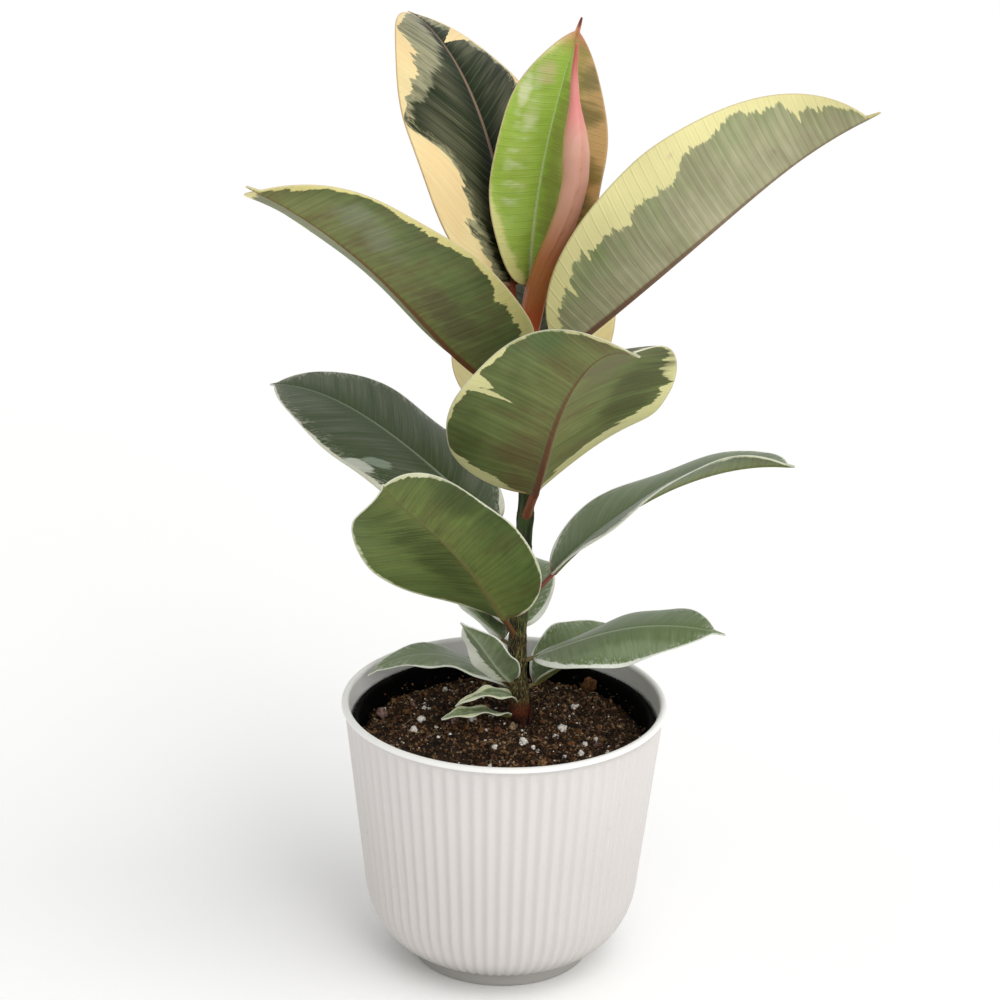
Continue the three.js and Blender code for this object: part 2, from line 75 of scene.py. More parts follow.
# Sizes that only the looks have
AXIS_GAP = 0.5  # the profiles of the pots stop this far from the axis
STEM_FOOT = (7.5, 8)  # crumbs keep clear of it
BARK_TOP = (172, 150)  # heights between which the bark gets rough
SCAR = {"above_leaf": 2.6, "width": 0.45, "height": 0.16}
GROOVE = {"depth": 0.3, "width": 0.9}  # along the midrib on the upper face
RIDGE = 1.3  # depth of the midrib under the blade, in its half widths
STRAIGHT = 2e-4  # radians of curl that keep a half from being quite straight
LARGE_LEAF = 100  # blades of this length have more rows of points
HALF_COLUMNS = (
    0, 0.012, 0.026, 0.045, 0.07, 0.11, 0.17, 0.24, 0.32, 0.4, 0.48, 0.56, 0.64, 0.72, 0.8, 0.87, 0.93,
    0.97, 1,
)  # shares of the half width
PATTERN_WIDTH = 90  # a leaf of this width has the pattern in its drawn size
VEIN_SPACING = 4.6
WAVE_LENGTH = 3.8
FAR = 50.0  # a distance at which none of a leaf's lines shows

# Palettes of one face of a leaf: its middle, the paler patches, which on the upper faces also serve as
# painted sheen, the margin, the midrib, the outermost edge and the odd streaks in the middle
PALETTES = {
    "young": ("#9ABA4C", "#BBCE78", "#D8DA92", "#C4CE94", "#C9A27A", "#8CA63C"),
    "fresh": ("#121F04", "#9C9A7A", "#EBD7A0", "#A88A74", "#C9A07C", "#2B3A1C"),
    "mature": ("#40502F", "#8A887C", "#DCDCC8", "#8E9480", "#D6D6C6", "#44572F"),
    "lower": ("#67784F", "#8C9879", "#E4E7DC", "#A2AC8E", "#E4E7DC", "#617548"),
    "grey_back": ("#7A8A54", "#BDB996", "#EEE6A6", "#6E4A3A", "#DDD49C", "#9E9678"),
    "olive_back": ("#4E5A2C", "#7C8A50", "#DAD69A", "#6A3C26", "#D2CEA6", "#645636"),
    "green_back": ("#47582A", "#6E8040", "#D8D8B4", "#6A6434", "#D6D9BC", "#54522A"),
}

# A leaf's values. Sizes and angles are the CAD model's, and the seat is the bearing and distance of the
# petiole's start from the stem's axis. Pairs are for the left and the right half, whose sides are 1 and -1.
# green is the share of a half's width that is green at even steps from base to tip, and dark is the same
# for the darkest zone. A ray is a wedge of the margin's colour between two side veins: its side, its place
# along the midrib, its start from the midrib and its spread. A patch is a spot of its own colour: its side,
# its place along the midrib, its distance from it, its two half sizes and its colour. haze says how softly
# patches fade, softness and ragged how soft and how rough the green's outline is, and slant how far the
# side veins lean towards the tip.
USUAL_LEAF = {
    "seat": (0, 0), "drip": BLADE["drip"], "upper": "lower", "under": "green_back", "stalk": "#7C7048",
    "rays": (), "patches": (), "softness": 0.35, "ragged": 1.0, "slant": 1.0, "gloss": 0.3,
}


def grow(**values):
    """A leaf's values, with the usual ones where it gives none."""
    leaf = USUAL_LEAF | values
    leaf.setdefault("dark", leaf["green"])
    leaf.setdefault("haze", leaf["softness"])
    return leaf


LEAVES = [
    grow(height=287, seat=(93, 5.8), petiole=(25, 1.9), length=118, width=62,
         bearing=(90, 72, 61, 56), rise=(86, 73, 64, 59), roll=(15, 19, 23),
         fold=((47, 49), (31, 29)), curl=((11, 8, 22), (-5, -6, -3)),
         green=((0.3, 0.6, 0.72, 1.0, 1.1, 1.1, 1.1, 1.1, 0.95, 0.6, 0.2),
                (0.1, 0.3, 0.38, 0.4, 0.4, 0.4, 0.38, 0.35, 0.3, 0.2, 0.1)),
         patches=((-1, 55, 7, 60, 6, "#8A9046"), (-1, 95, 15, 6, 8, "#7E774A"), (-1, 80, 18, 6, 8, "#786B3A"),
                  (-1, 57, 25, 7, 8, "#7C733E"), (-1, 38, 25, 8, 7, "#767040"), (1, 92, 10, 6, 7, "#C9BE8A"),
                  # The whitish #BCC98C and #D8DCB0 patches are painted highlights
                  (1, 74, 13, 5, 6, "#BCC98C"), (1, 84, 20, 8, 4, "#D8DCB0"), (1, 30, 10, 12, 10, "#A6C65C")),
         upper="young", right_margin="#C8A66E", stalk="#7A3F2C", softness=2.2, slant=-0.35),
    grow(height=285, seat=(163, 5.8), petiole=(28, 1.9), length=147, width=88, drip=0.02,
         bearing=(111, 118, 122, 120), rise=(86, 68, 42, 3), roll=(22, 18, 17),
         fold=((3, 9), (-1, 6)), curl=((-6, -20, -2), (-9, -16, -23)),
         green=((0.6, 0.5, 0.58, 0.57, 0.68, 1.0, 0.78, 0.72, 0.92, 0.8, 0.6),
                (0.6, 0.6, 0.62, 0.65, 0.7, 0.76, 0.85, 0.95, 0.9, 0.85, 0.6)),
         dark=((0.3, 0.35, 0.5, 0.52, 0.64, 1.0, 0.56, 0.3, 0.2, 0.12, 0.0),
               (0.5, 0.5, 0.55, 0.6, 0.66, 0.72, 0.82, 0.9, 0.75, 0.3, 0.1)),
         rays=((-1, 115, 1, 0.46), (1, 93, 24, 0.2)),
         upper="fresh", under="olive_back", stalk="#7A3F2C", gloss=0.12, ragged=1.3),
    grow(height=274, petiole=(20, 2.1), length=194, width=98,
         bearing=(355, 342, 333, 293), rise=(40, 44, 43, 26), roll=(-21, -24, -28),
         fold=((26, 40), (25, 40)), curl=((5, 5, 6), (15, 4, -6)),
         green=((0.5, 0.65, 0.7, 0.65, 0.66, 0.7, 0.75, 0.88, 0.72, 0.7, 0.0),
                (0.45, 0.7, 0.76, 0.7, 0.67, 0.7, 0.76, 0.9, 0.7, 0.7, 0.0)),
         rays=((-1, 22, 18, 0.14), (-1, 36, 28, 0.16), (1, 30, 24, 0.15)),
         patches=((-1, 146, 7, 4, 5, "#928064"), (-1, 130, 9, 3, 3, "#96806A"),
                  (-1, 88, 40, 3, 2, "#E2C8A0")), haze=3,
         upper="fresh", under="grey_back", stalk="#704636", softness=0.7, slant=0.35, ragged=1.8),
    grow(height=265, petiole=(18, 2.0), length=186, width=93,
         bearing=(226, 218, 221, 246), rise=(24, 47, 39, 25), roll=(19, 16, 20),
         fold=((20, 17), (21, 18)), curl=((13, -9, -16), (31, 6, 2)),
         green=((0.5, 0.66, 0.86, 0.84, 0.94, 0.92, 0.88, 0.94, 0.93, 0.6, 0.0),
                (0.5, 0.7, 0.8, 0.8, 0.86, 0.88, 0.85, 0.86, 0.84, 0.5, 0.0)),
         rays=((1, 26, 29, 0.3), (-1, 70, 26, 0.1)),
         # The #7E8268 patch is painted sheen
         patches=((1, 118, 17, 22, 9, "#7E8268"), (1, 60, 12, 30, 7, "#5E5A38")), haze=4,
         upper="fresh", under="olive_back", margin="#E6DC90", stalk="#6E4532", softness=0.6, slant=0.05,
         ragged=1.4),
    grow(height=239, petiole=(18, 1.7), length=126, width=77,
         bearing=(94, 88, 86, 86), rise=(42, 32, 23, 11), roll=(-8, -8, -4),
         fold=((-5, 0), (2, 6)), curl=((-21, -25, -11), (-12, -9, -6)),
         green=((0.4, 0.6, 0.66, 0.7, 0.72, 0.7, 0.66, 0.6, 0.5, 0.3, 0.0),
                (0.4, 0.55, 0.6, 0.66, 0.7, 0.72, 0.7, 0.66, 0.6, 0.3, 0.0)),
         upper="fresh", under="olive_back", margin="#DDD396"),
    grow(height=207, petiole=(24, 2.0), length=175, width=94,
         bearing=(283, 281, 291, 289), rise=(47, 50, 40, 7), roll=(14, -3, -17),
         fold=((24, 16), (21, 19)), curl=((-20, -36, -6), (-2, -32, -2)),
         green=((0.05, 0.5, 0.72, 0.84, 0.9, 0.9, 0.86, 0.92, 0.94, 0.9, 0.2),
                (0.4, 0.74, 0.97, 0.98, 0.97, 0.93, 0.94, 0.94, 0.94, 0.6, 0.1)),
         rays=((-1, 61, 18, 0.13), (-1, 66, 31, 0.6)),
         patches=((1, 105, 12, 30, 9, "#706A4C"), (1, 70, 32, 45, 9, "#4A4E28"),
                  (-1, 25, 9, 22, 8, "#665A38"), (-1, 118, 26, 26, 12, "#55683A")), haze=4,
         upper="mature", under="olive_back", stalk="#84492E", slant=0.75, ragged=1.5),
    grow(height=191, petiole=(18, 1.5), length=136, width=66, drip=0.02,
         bearing=(146, 144, 146, 141), rise=(31, 27, 16, -14), roll=(-2, -5, -17),
         fold=((0, 8), (1, 13)), curl=((-19, -15, -14), (-10, -29, -36)),
         green=((0.6, 0.78, 0.84, 0.88, 0.93, 0.96, 0.95, 0.97, 0.97, 0.9, 0.6),
                (0.6, 0.9, 0.97, 0.98, 0.98, 0.98, 0.98, 0.98, 0.98, 0.97, 0.8)),
         patches=((1, 37, 21, 5, 5, "#93A08C"), (1, 34, 29, 8, 4, "#D5D9CB")),
         upper="mature", stalk="#6E4A34"),
    grow(height=160, petiole=(25, 1.1), length=132, width=52, drip=0.03,
         bearing=(3, -3, -20, -48), rise=(59, 42, 27, 11), roll=(6, -1, -10),
         fold=((22, 22), (20, 34)), curl=((-6, -33, -10), (-8, -34, -7)),
         green=((0.7, 0.92, 0.96, 0.96, 0.95, 0.96, 0.96, 0.95, 0.95, 0.9, 0.6),
                (0.5, 0.8, 0.88, 0.9, 0.9, 0.9, 0.88, 0.86, 0.86, 0.85, 0.6)),
         patches=((-1, 66, 17, 52, 10, "#4A5A38"), (1, 80, 8, 30, 7, "#5A684C")), haze=3,
         stalk="#8A4A3A", gloss=0.5),
    grow(height=148, petiole=(18, 1.4), length=167, width=66, drip=0.03,
         bearing=(234, 243, 242, 269), rise=(55, 44, 38, 29), roll=(11, 36, 54),
         fold=((6, 3), (6, -4)), curl=((5, -37, -38), (-8, -7, 95)),
         green=((0.8, 0.97, 0.98, 0.98, 0.98, 0.98, 0.98, 0.97, 0.9, 0.7, 0.2),
                (0.5, 0.88, 0.96, 0.97, 0.97, 0.97, 0.95, 0.97, 0.98, 0.98, 0.8)),
         patches=((-1, 62, 7, 62, 9, "#34421A"), (-1, 60, 25, 70, 8, "#66753E"),
                  (1, 95, 22, 26, 12, "#414E22")), haze=4,
         upper="mature", stalk="#6B4A2C"),
    grow(height=145, petiole=(10, 1.0), length=81, width=39,
         bearing=(96, 93, 85, 76), rise=(35, 14, -4, -19), roll=(7, 4, 3),
         fold=((10, 11), (7, 9)), curl=((1, 1, 0), (1, 3, 1)),
         green=((0.6, 0.9, 0.95, 0.96, 0.95, 0.7), (0.6, 0.9, 0.95, 0.96, 0.95, 0.7))),
    grow(height=143, petiole=(9, 0.9), length=53, width=31,
         bearing=(143, 142, 147, 155), rise=(20, 29, 29, 27), roll=(9, 9, 6),
         fold=((17, 18), (12, 14)), curl=((6, 13, 3), (-7, -4, -2)),
         green=((0.2, 0.25, 0.4, 0.7, 0.8, 0.5), (0.5, 0.8, 0.85, 0.85, 0.8, 0.5)),
         patches=((1, 26, 6, 22, 5, "#A3AE96"), (-1, 24, 6, 20, 3, "#93A086")), haze=2),
    grow(height=137, petiole=(8, 1.1), length=92, width=45,
         bearing=(354, 349, 338, 332), rise=(26, 24, 12, -3), roll=(-7, 10, 21),
         fold=((-4, -1), (-2, -4)), curl=((-15, -20, -9), (-16, -28, -8)),
         green=((0.7, 0.95, 0.97, 0.97, 0.99, 0.9), (0.6, 0.88, 0.92, 0.93, 1.0, 1.0)),
         patches=((-1, 48, 14, 30, 5, "#8A9878"),), haze=3, slant=0.3),
    grow(height=126, petiole=(7, 0.9), length=45, width=23,
         bearing=(228, 220, 216, 216), rise=(35, 51, 55, 44), roll=(27, 20, 18),
         fold=((8, 18), (-3, 9)), curl=((-6, -4, 4), (-15, -2, -1)),
         green=((0.8, 0.95, 0.95, 0.95, 0.95, 0.95), (0.35, 0.35, 0.4, 0.5, 0.6, 0.8)),
         under="lower", margin="#F4F6E6"),
    grow(height=123, petiole=(8, 1.0), length=64, width=40,
         bearing=(16, 41, 63, 78), rise=(26, 16, 4, -6), roll=(-16, -6, 3),
         fold=((17, 19), (22, 19)), curl=((5, 10, 9), (15, 11, 7)),
         green=((0.7, 0.95, 0.97, 0.97, 0.95, 0.6), (0.7, 0.95, 0.97, 0.97, 0.95, 0.6))),
    grow(height=120, petiole=(8, 0.9), length=70, width=30,
         bearing=(134, 156, 180, 201), rise=(22, 17, -6, -36), roll=(28, 6, -4),
         fold=((1, 3), (-13, 3)), curl=((-11, -11, -7), (-33, 5, -6)),
         green=((0.5, 0.88, 0.92, 0.93, 0.95, 0.8), (0.7, 0.93, 0.97, 0.97, 0.95, 0.8))),
    grow(height=115, petiole=(6, 0.8), length=33, width=11,
         bearing=(236, 218, 201, 185), rise=(66, 28, -5, -37), roll=(-17, -2, 11),
         fold=((10, 11), (13, 9)), curl=((-4, -5, -1), (1, -7, -4)),
         green=((0.6, 0.8, 0.85, 0.6, 0.3, 0.1), (0.4, 0.5, 0.6, 0.4, 0.2, 0.1)),
         margin="#DADCB4"),
    grow(height=111, petiole=(6, 0.8), length=34, width=11,
         bearing=(212, 207, 204, 203), rise=(20, 16, 4, -14), roll=(17, 2, -9),
         fold=((10, 11), (7, 13)), curl=((-2, -1, 1), (-6, 6, 3)),
         green=((0.6, 0.75, 0.6, 0.5, 0.7, 0.4), (0.6, 0.8, 0.7, 0.6, 0.8, 0.6)),
         margin="#D2D6A6"),
]

# Dry scales at the foot of the stem: bearing, bottom, top and how far the top stands off
DRY_SCALES = [(-25, 108, 118, 1.6), (5, 109, 116, 1.2), (-75, 108, 113, 0.8), (200, 108, 114, 0.7)]

# Kinds of crumb on the soil, which are also its material slots
BASE, DARK, BROWN, PERLITE, BARK, TAN, ROSE = range(7)

# White grains and lumps that stand out on the soil: x, y and size
PERLITE_SPOTS = [
    (-37, 4, 3.6), (-40, -5, 3.6), (-36, 21, 2.1), (-27, 44, 2.7), (-36, 27, 1.5), (-34, 21, 1.5),
    (-14, 5, 3.6), (-16, 7, 2.1), (-6, 9, 2.7), (-8, -5, 1.8), (-30, 0, 1.5), (-24, -10, 1.8),
    (-29, -14, 1.5), (26, -3, 3.6), (23, -9, 2.4), (32, 25, 3.3), (31, 18, 1.5), (41, -7, 2.7),
    (38, -6, 1.5), (9, -19, 3.6), (13, -22, 2.4), (-4, -23, 2.7), (15, -26, 1.5), (8, -5, 1.5),
    (36, -16, 2.4), (34, -26, 2.7), (27, -30, 1.8), (46, -22, 1.8), (-6, -38, 1.8), (18, 20, 1.2),
    (-54, 25, 1.5), (-42, 32, 1.2), (-15, 52, 1.2), (24, 50, 1.2), (58, 14, 1.2), (32, -16, 1.2),
    (2, -35, 1.2), (-47, -16, 1.2),
]
LUMPS = {
    BARK: [(39, 49, 8), (-17, -6, 5), (17, 5, 3), (-44, 17, 4)],
    TAN: [(4, -3, 4), (-6, 6, 2.6), (-49, -21, 3)],
    ROSE: [(-55, 16, 7), (-22, 4, 4.5)],
}

# Heights between which the looks of the stem change; the foot band is painted shade just above the soil
STEM_BANDS = {"bark": (150, 170), "rust": (131, 121), "foot": (115, 110), "relief": (175, 150)}

# Tones of the sheath: the heights between which each pair comes in over the ones before it, and the pair
SHEATH_BANDS = [
    ((322, 360), "#EABCAA", "#DC9F8C"), ((314, 296), "#A84220", "#C86434"),
    ((376, 394), "#E89590", "#E89590"), ((400, 416), "#C4685C", "#C4685C"),
]


# Numbers
def colour(text):
    """A hex colour as linear red, green, blue and alpha."""
    values = [int(text[i:i + 2], 16) / 255 for i in (1, 3, 5)]
    return [v / 12.92 if v < 0.04045 else ((v + 0.055) / 1.055) ** 2.4 for v in values] + [1.0]


def spline(values, s):
    """A smooth curve through values that are spread evenly over 0 to 1."""
    v = np.asarray(values, float)
    last = len(v) - 1
    place = np.clip(np.asarray(s, float), 0, 1) * last
    i = np.minimum(place.astype(int), last - 1)
    f = place - i
    b, c = v[i], v[i + 1]
    a = np.where(i == 0, 2 * b - c, v[np.maximum(i - 1, 0)])
    d = np.where(i == last - 1, 2 * c - b, v[np.minimum(i + 2, last)])
    bend = (2 * a - 5 * b + 4 * c - d) * f ** 2 + (3 * b - a - 3 * c + d) * f ** 3
    return 0.5 * (2 * b + (c - a) * f + bend)


def angle_spline(values, s):
    return np.radians(spline(values, s))


def smooth(low, high, value):
    """0 at low and 1 at high, with a smooth rise between."""
    t = np.clip((value - low) / (high - low), 0, 1)
    return t * t * (3 - 2 * t)


def turns(sides):
    """Even angles all round."""
    return np.arange(sides) * math.tau / sides


def spread(values, sides):
    """Each value repeated along a row of its own."""
    return np.repeat(values[:, None], sides, 1)


def stem_axis(z):
    """The stem's axis at heights z."""
    heights = [p[2] for p in STEM_AXIS]
    return np.stack([np.interp(z, heights, [p[k] for p in STEM_AXIS]) for k in (0, 1)] + [z], -1)


# Meshes
class Shape:
    """Vertices in millimetres with named values on them, and faces, that other shapes can be added to."""

    def __init__(self, names=()):
        self.points, self.faces, self.slots, self.values = [], [], [], {name: [] for name in names}

    def add(self, points, faces, slot=0, **values):
        start = len(self.points)
        self.points += [tuple(p) for p in points]
        self.faces += [tuple(start + i for i in face) for face in faces]
        self.slots += [slot] * len(faces)
        for name, store in self.values.items():
            store += [tuple(v) for v in values[name]]


def mesh_object(name, shape, materials):
    mesh = bpy.data.meshes.new(name)
    mesh.from_pydata([Vector(p) * MM for p in shape.points], [], shape.faces)
    mesh.polygons.foreach_set("material_index", shape.slots)
    mesh.polygons.foreach_set("use_smooth", [True] * len(shape.faces))
    for key, values in shape.values.items():
        attribute = mesh.attributes.new(key, "FLOAT_VECTOR", "POINT")
        attribute.data.foreach_set("vector", np.asarray(values, np.float32).ravel())
    for material in materials:
        mesh.materials.append(material)
    mesh.update()
    piece = bpy.data.objects.new(name, mesh)
    bpy.context.scene.collection.objects.link(piece)
    return piece


def install(piece, node, slot):
    """Makes the piece stand for a CAD node."""
    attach(piece, "root")
    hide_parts(node)


def grid_faces(rows, columns, closed=False, flip=False):
    """Quads between rows of points, which join round into rings where closed."""
    faces = []
    for i in range(rows - 1):
        for j in range(columns if closed else columns - 1):
            k = (j + 1) % columns
            quad = (i * columns + j, i * columns + k, (i + 1) * columns + k, (i + 1) * columns + j)
            faces.append(quad[::-1] if flip else quad)
    return faces


def ring_skin(loops, flip=False):
    """Points and faces of a closed skin through loops of points, capped at both ends."""
    rows, columns = loops.shape[:2]
    faces = grid_faces(rows, columns, closed=True, flip=flip)
    ends = [tuple(range(columns)), tuple(range((rows - 1) * columns, rows * columns))]
    faces.append(ends[0] if flip else ends[0][::-1])
    faces.append(ends[1][::-1] if flip else ends[1])
    return loops.reshape(-1, 3), faces


def loops_round(radius, z, x=0.0, y=0.0):
    """Loops at heights z round an axis. radius has a row for each height, and x and y are the axis there."""
    sides = radius.shape[1]
    angle = turns(sides)
    x, y = (np.broadcast_to(v, z.shape)[:, None] for v in (x, y))
    return np.stack([x + radius * np.cos(angle), y + radius * np.sin(angle), spread(z, sides)], -1)


def revolved(profile, sides, shift=0.0):
    """Loops of a profile of radius and height turned about Z. shift is each point's way outwards."""
    radius, height = np.array(profile, float).T
    return loops_round(spread(radius, sides) + shift, height)


# Materials
def operator(name):
    """A method that adds the node for one operation on a value and another."""
    return lambda value, other: value.look.math(name, value, other)


class Value:
    """A value in a material. Arithmetic with it adds nodes to the material."""

    __add__ = __radd__ = operator("ADD")
    __mul__ = __rmul__ = operator("MULTIPLY")
    __sub__ = operator("SUBTRACT")
    __truediv__ = operator("DIVIDE")
    __pow__ = operator("POWER")

    def __init__(self, look, socket):
        self.look, self.socket = look, socket

    def __rsub__(self, other):
        return self.look.math("SUBTRACT", other, self)

    def __abs__(self):
        return self.look.math("ABSOLUTE", self)

    def step(self, low, high):
        """0 where this is below low and 1 where it is above high, with a smooth rise between."""
        inputs = {0: self, 1: low, 2: high}
        return self.look.node("ShaderNodeMapRange", inputs, interpolation_type="SMOOTHSTEP")

    def range(self, low, high):
        """low where this is 0 and high where it is 1."""
        return self.look.node("ShaderNodeMapRange", {0: self, 3: low, 4: high})

    def mix(self, a, b, blend="MIX"):
        """a where this is 0 and b where it is 1."""
        return self.look.mix(self, a, b, blend)


class Look:
    """A material under construction. Its methods add nodes and return what they give."""

    def __init__(self, name, specular):
        self.material = bpy.data.materials.new(name)
        self.material.use_nodes = True
        self.tree = self.material.node_tree
        self.shader = self.tree.nodes["Principled BSDF"]
        self.set("Specular IOR Level", specular)

    def put(self, socket, value):
        """Links a value to a socket, or sets a number or a hex colour on it."""
        if isinstance(value, Value):
            self.tree.links.new(value.socket, socket)
        else:
            socket.default_value = colour(value) if isinstance(value, str) else value

    def set(self, name, value):
        self.put(self.shader.inputs[name], value)

    def node(self, kind, inputs, output=0, **settings):
        """Adds a node and returns one of its outputs."""
        made = self.tree.nodes.new(kind)
        for key, value in settings.items():
            setattr(made, key, value)
        for key, value in inputs.items():
            self.put(made.inputs[key], value)
        return Value(self, made.outputs[output])

    def math(self, operation, *values, clamp=False):
        return self.node("ShaderNodeMath", dict(enumerate(values)), operation=operation, use_clamp=clamp)

    def parts(self, vector):
        """The three numbers of a vector."""
        first = self.node("ShaderNodeSeparateXYZ", {0: vector})
        return [Value(self, socket) for socket in first.socket.node.outputs]

    def attribute(self, name):
        return self.parts(self.node("ShaderNodeAttribute", {}, "Vector", attribute_name=name))

    def place(self):
        """The point's own place in metres."""
        return self.node("ShaderNodeTexCoord", {}, "Object")

    def vector(self, x, y, z):
        return self.node("ShaderNodeCombineXYZ", {0: x, 1: y, 2: z})

    def noise(self, vector, scale, detail=2.0, roughness=0.5):
        inputs = {"Vector": vector, "Scale": scale, "Detail": detail, "Roughness": roughness}
        return self.node("ShaderNodeTexNoise", inputs)

    def mix(self, share, a, b, blend="MIX"):
        return self.node("ShaderNodeMix", {0: share, 6: a, 7: b}, 2, data_type="RGBA", blend_type=blend)

    def finished(self, base, roughness, height, distance, strength):
        """The material, with its colour, its roughness and its relief set."""
        self.set("Base Color", base)
        self.set("Roughness", roughness)
        relief = {"Height": height, "Distance": distance, "Strength": strength}
        self.set("Normal", self.node("ShaderNodeBump", relief))
        return self.material


def around(value, size):
    """A value about 0.5 turned into a swing about 0."""
    return (value - 0.5) * size


class LeafLook(Look):
    """A leaf's two faces. place holds the distance to the edge, the distance to the midrib over its half
    width, and 1 on the upper face. pattern holds the place along the side veins, the signed distance from the
    midrib and the distance inside the green. zone holds the same for the dark zone, and the share of the
    length."""

    def __init__(self, name, leaf, seed):
        super().__init__(name, leaf["gloss"])
        self.leaf, self.seed = leaf, seed
        self.edge, self.rib, self.face = self.attribute("place")
        self.vein, self.across, self.green = self.attribute("pattern")
        self.dark_zone, self.share, _ = self.attribute("zone")
        self.out = abs(self.across)
        self.side = self.math("SIGN", self.across)
        self.scale = scale = leaf["width"] / PATTERN_WIDTH
        self.fine = self.streaks(0.9, 0.05, 3.0, 13.0)
        self.clouds = self.streaks(0.05 / scale, 0.05 / scale, 2.0, 21.0)
        self.bands = self.streaks(0.16 / scale, 0.012 / scale, 3.0, 33.0)
        self.rough = (around(self.streaks(0.1 / scale, 0.03 / scale, 4.0, 0.0), 17 * scale * leaf["ragged"])
                      + around(self.streaks(0.7, 0.06, 1.0, 9.0), 3.2 * leaf["ragged"]))
        self.spacing = VEIN_SPACING * max(scale, 0.45)
        self.main_veins = self.math("MAXIMUM", self.wave(self.vein * (math.tau / self.spacing)), 0.0) ** 18.0
        palettes = zip(PALETTES[leaf["under"]], PALETTES[leaf["upper"]])
        self.dark, self.pale, self.cream, self.midrib, self.rim, self.odd = [
            self.face.mix(under, upper) for under, upper in palettes]
        self.cream = leaf.get("margin", self.cream)
        if "right_margin" in leaf:
            self.cream = self.across.step(0.5, -0.5).mix(self.cream, leaf["right_margin"])
        self.in_green = self.green_share()

    def streaks(self, fineness, reach, detail, offset):
        """Noise that runs out along the side veins."""
        place = self.vector(self.vein * fineness, self.out * reach, self.side * 3.1 + (self.seed + offset))
        return self.noise(place, 1.0, detail, 0.6)

    def wave(self, phase):
        return self.math("COSINE", phase)

    def by_face(self, under, upper):
        """One number on the underside and another on the upper face."""
        return self.face.range(under, upper)

    def from_spot(self, which, start, begin, long, wide):
        """The squared distance from a spot's middle, in its half sizes."""
        return ((self.vein - start) / long) ** 2.0 + ((self.across * which - begin) / wide) ** 2.0

    def green_share(self):
        """1 in the green, 0 in the margin and its rays, with a ragged line between."""
        soft = self.leaf["softness"]
        calm_edge = self.math("MULTIPLY", self.edge - self.green, 0.16, clamp=True)
        line = self.green + self.rough * self.math("MAXIMUM", calm_edge, 0.2)
        in_green = line.step(-soft, soft)
        for which, start, begin, spread_out in self.leaf["rays"]:
            ragged = around(self.streaks(0.4, 0.15, 3.0, 4.0), 4.5 * self.scale)
            ray = (self.out - begin) * spread_out + ragged - abs(self.vein - start)
            on_side = (self.side * which).step(-0.5, 0.5)
            in_green = in_green * (1.0 - ray.step(0.0, 0.4) * on_side)
        return in_green

    def dark_share(self):
        """How far the green has its dark colour: in clouds on the underside, in a zone with a band of painted
        sheen on the upper face.
        """
        reach = self.out / (self.out + self.math("MAXIMUM", self.edge, 0.01))
        clouded = around(self.clouds, 1.0) + around(self.bands, 0.9) + around(reach, 0.65)
        under = self.math("ADD", clouded, 0.5, clamp=True)
        # Painted sheen: a grey reflection in a band halfway out to the edge of the upper face
        middle_band = reach.step(0.02, 0.4) * reach.step(1.0, 0.55)
        painted_sheen = (self.bands + around(self.fine, 0.3)).step(0.34, 0.7)
        upper = 1.0 - middle_band * painted_sheen * 0.33
        feather = self.rough + around(self.streaks(0.5, 0.04, 3.0, 27.0), 14 * self.scale)
        blur = 1.6 + 2 * self.leaf["softness"]
        zone = (self.dark_zone + around(self.clouds, 14 * self.scale) + feather).step(-blur, blur)
        loose = self.streaks(0.45, 0.03, 3.0, 51.0).step(0.42, 0.66) * 0.7
        return self.face.mix(under, upper * self.math("MAXIMUM", zone, loose))

    def green_and_margin(self):
        middle = self.dark_share().mix(self.pale, self.dark)
        odd_streaks = self.streaks(0.09 / self.scale, 0.05 / self.scale, 4.0, 61.0).step(0.46, 0.66)
        middle = (odd_streaks * self.by_face(0.5, 0.3)).mix(middle, self.odd)
        near_margin = (self.green + self.rough).step(7, 0)
        mottled = self.streaks(0.9, 0.4, 3.0, 81.0).step(0.5, 0.6) * near_margin
        middle = (mottled * self.by_face(0.0, 0.5)).mix(middle, self.mix(0.5, self.pale, self.cream))
        return self.in_green.mix(self.cream, middle)

    def tints(self, base):
        """The blush on a fresh leaf's margin, the warm tone along the midrib below, and the patches."""
        leaf = self.leaf
        if leaf["upper"] == "fresh":
            blush = self.clouds.step(0.42, 0.62) * self.face
            base = (blush * (0.2 - self.in_green * 0.2)).mix(base, "#E9B27E")
        warmth = 0.08 if leaf["under"] == "grey_back" else 0.22
        brown = (self.out / self.scale).step(26, 2) * self.by_face(warmth, 0.0)
        base = brown.mix(base, self.midrib)
        # Patches are the leaf's own spots, and on some leaves painted sheen and highlights
        for *spot, tint in leaf["patches"]:
            inside = 1.0 + self.rough * 0.28 - self.from_spot(*spot)
            cover = inside.step(-0.15 * leaf["haze"], 0.5 + 0.25 * leaf["haze"])
            base = (cover * 0.8).mix(base, tint)
        return base

    def veins(self, base):
        """Pale side veins, and painted light and shade in waves beside them, as on the ridges along the
        veins.
        """
        near_middle = (self.out / self.scale).step(40, 6)
        tint = near_middle * (self.by_face(0.4, 0.14) * self.in_green.range(0.25, 1.0))
        base = (self.main_veins * tint).mix(base, self.pale)
        waves = self.wave(self.vein * (math.tau / WAVE_LENGTH) + around(self.bands, 14))
        swing = 0.15 if self.leaf["upper"] == "lower" else 0.09
        broad = around(self.streaks(0.03, 0.03, 1.0, 40.0), 0.25)
        # Painted light and shade beside the side veins
        painted_relief_shade = waves * self.by_face(0.09, 0.02) * self.in_green
        brightness = self.fine.range(1 - swing, 1 + swing) + broad + painted_relief_shade
        return self.node("ShaderNodeHueSaturation", {"Value": brightness, "Color": base})

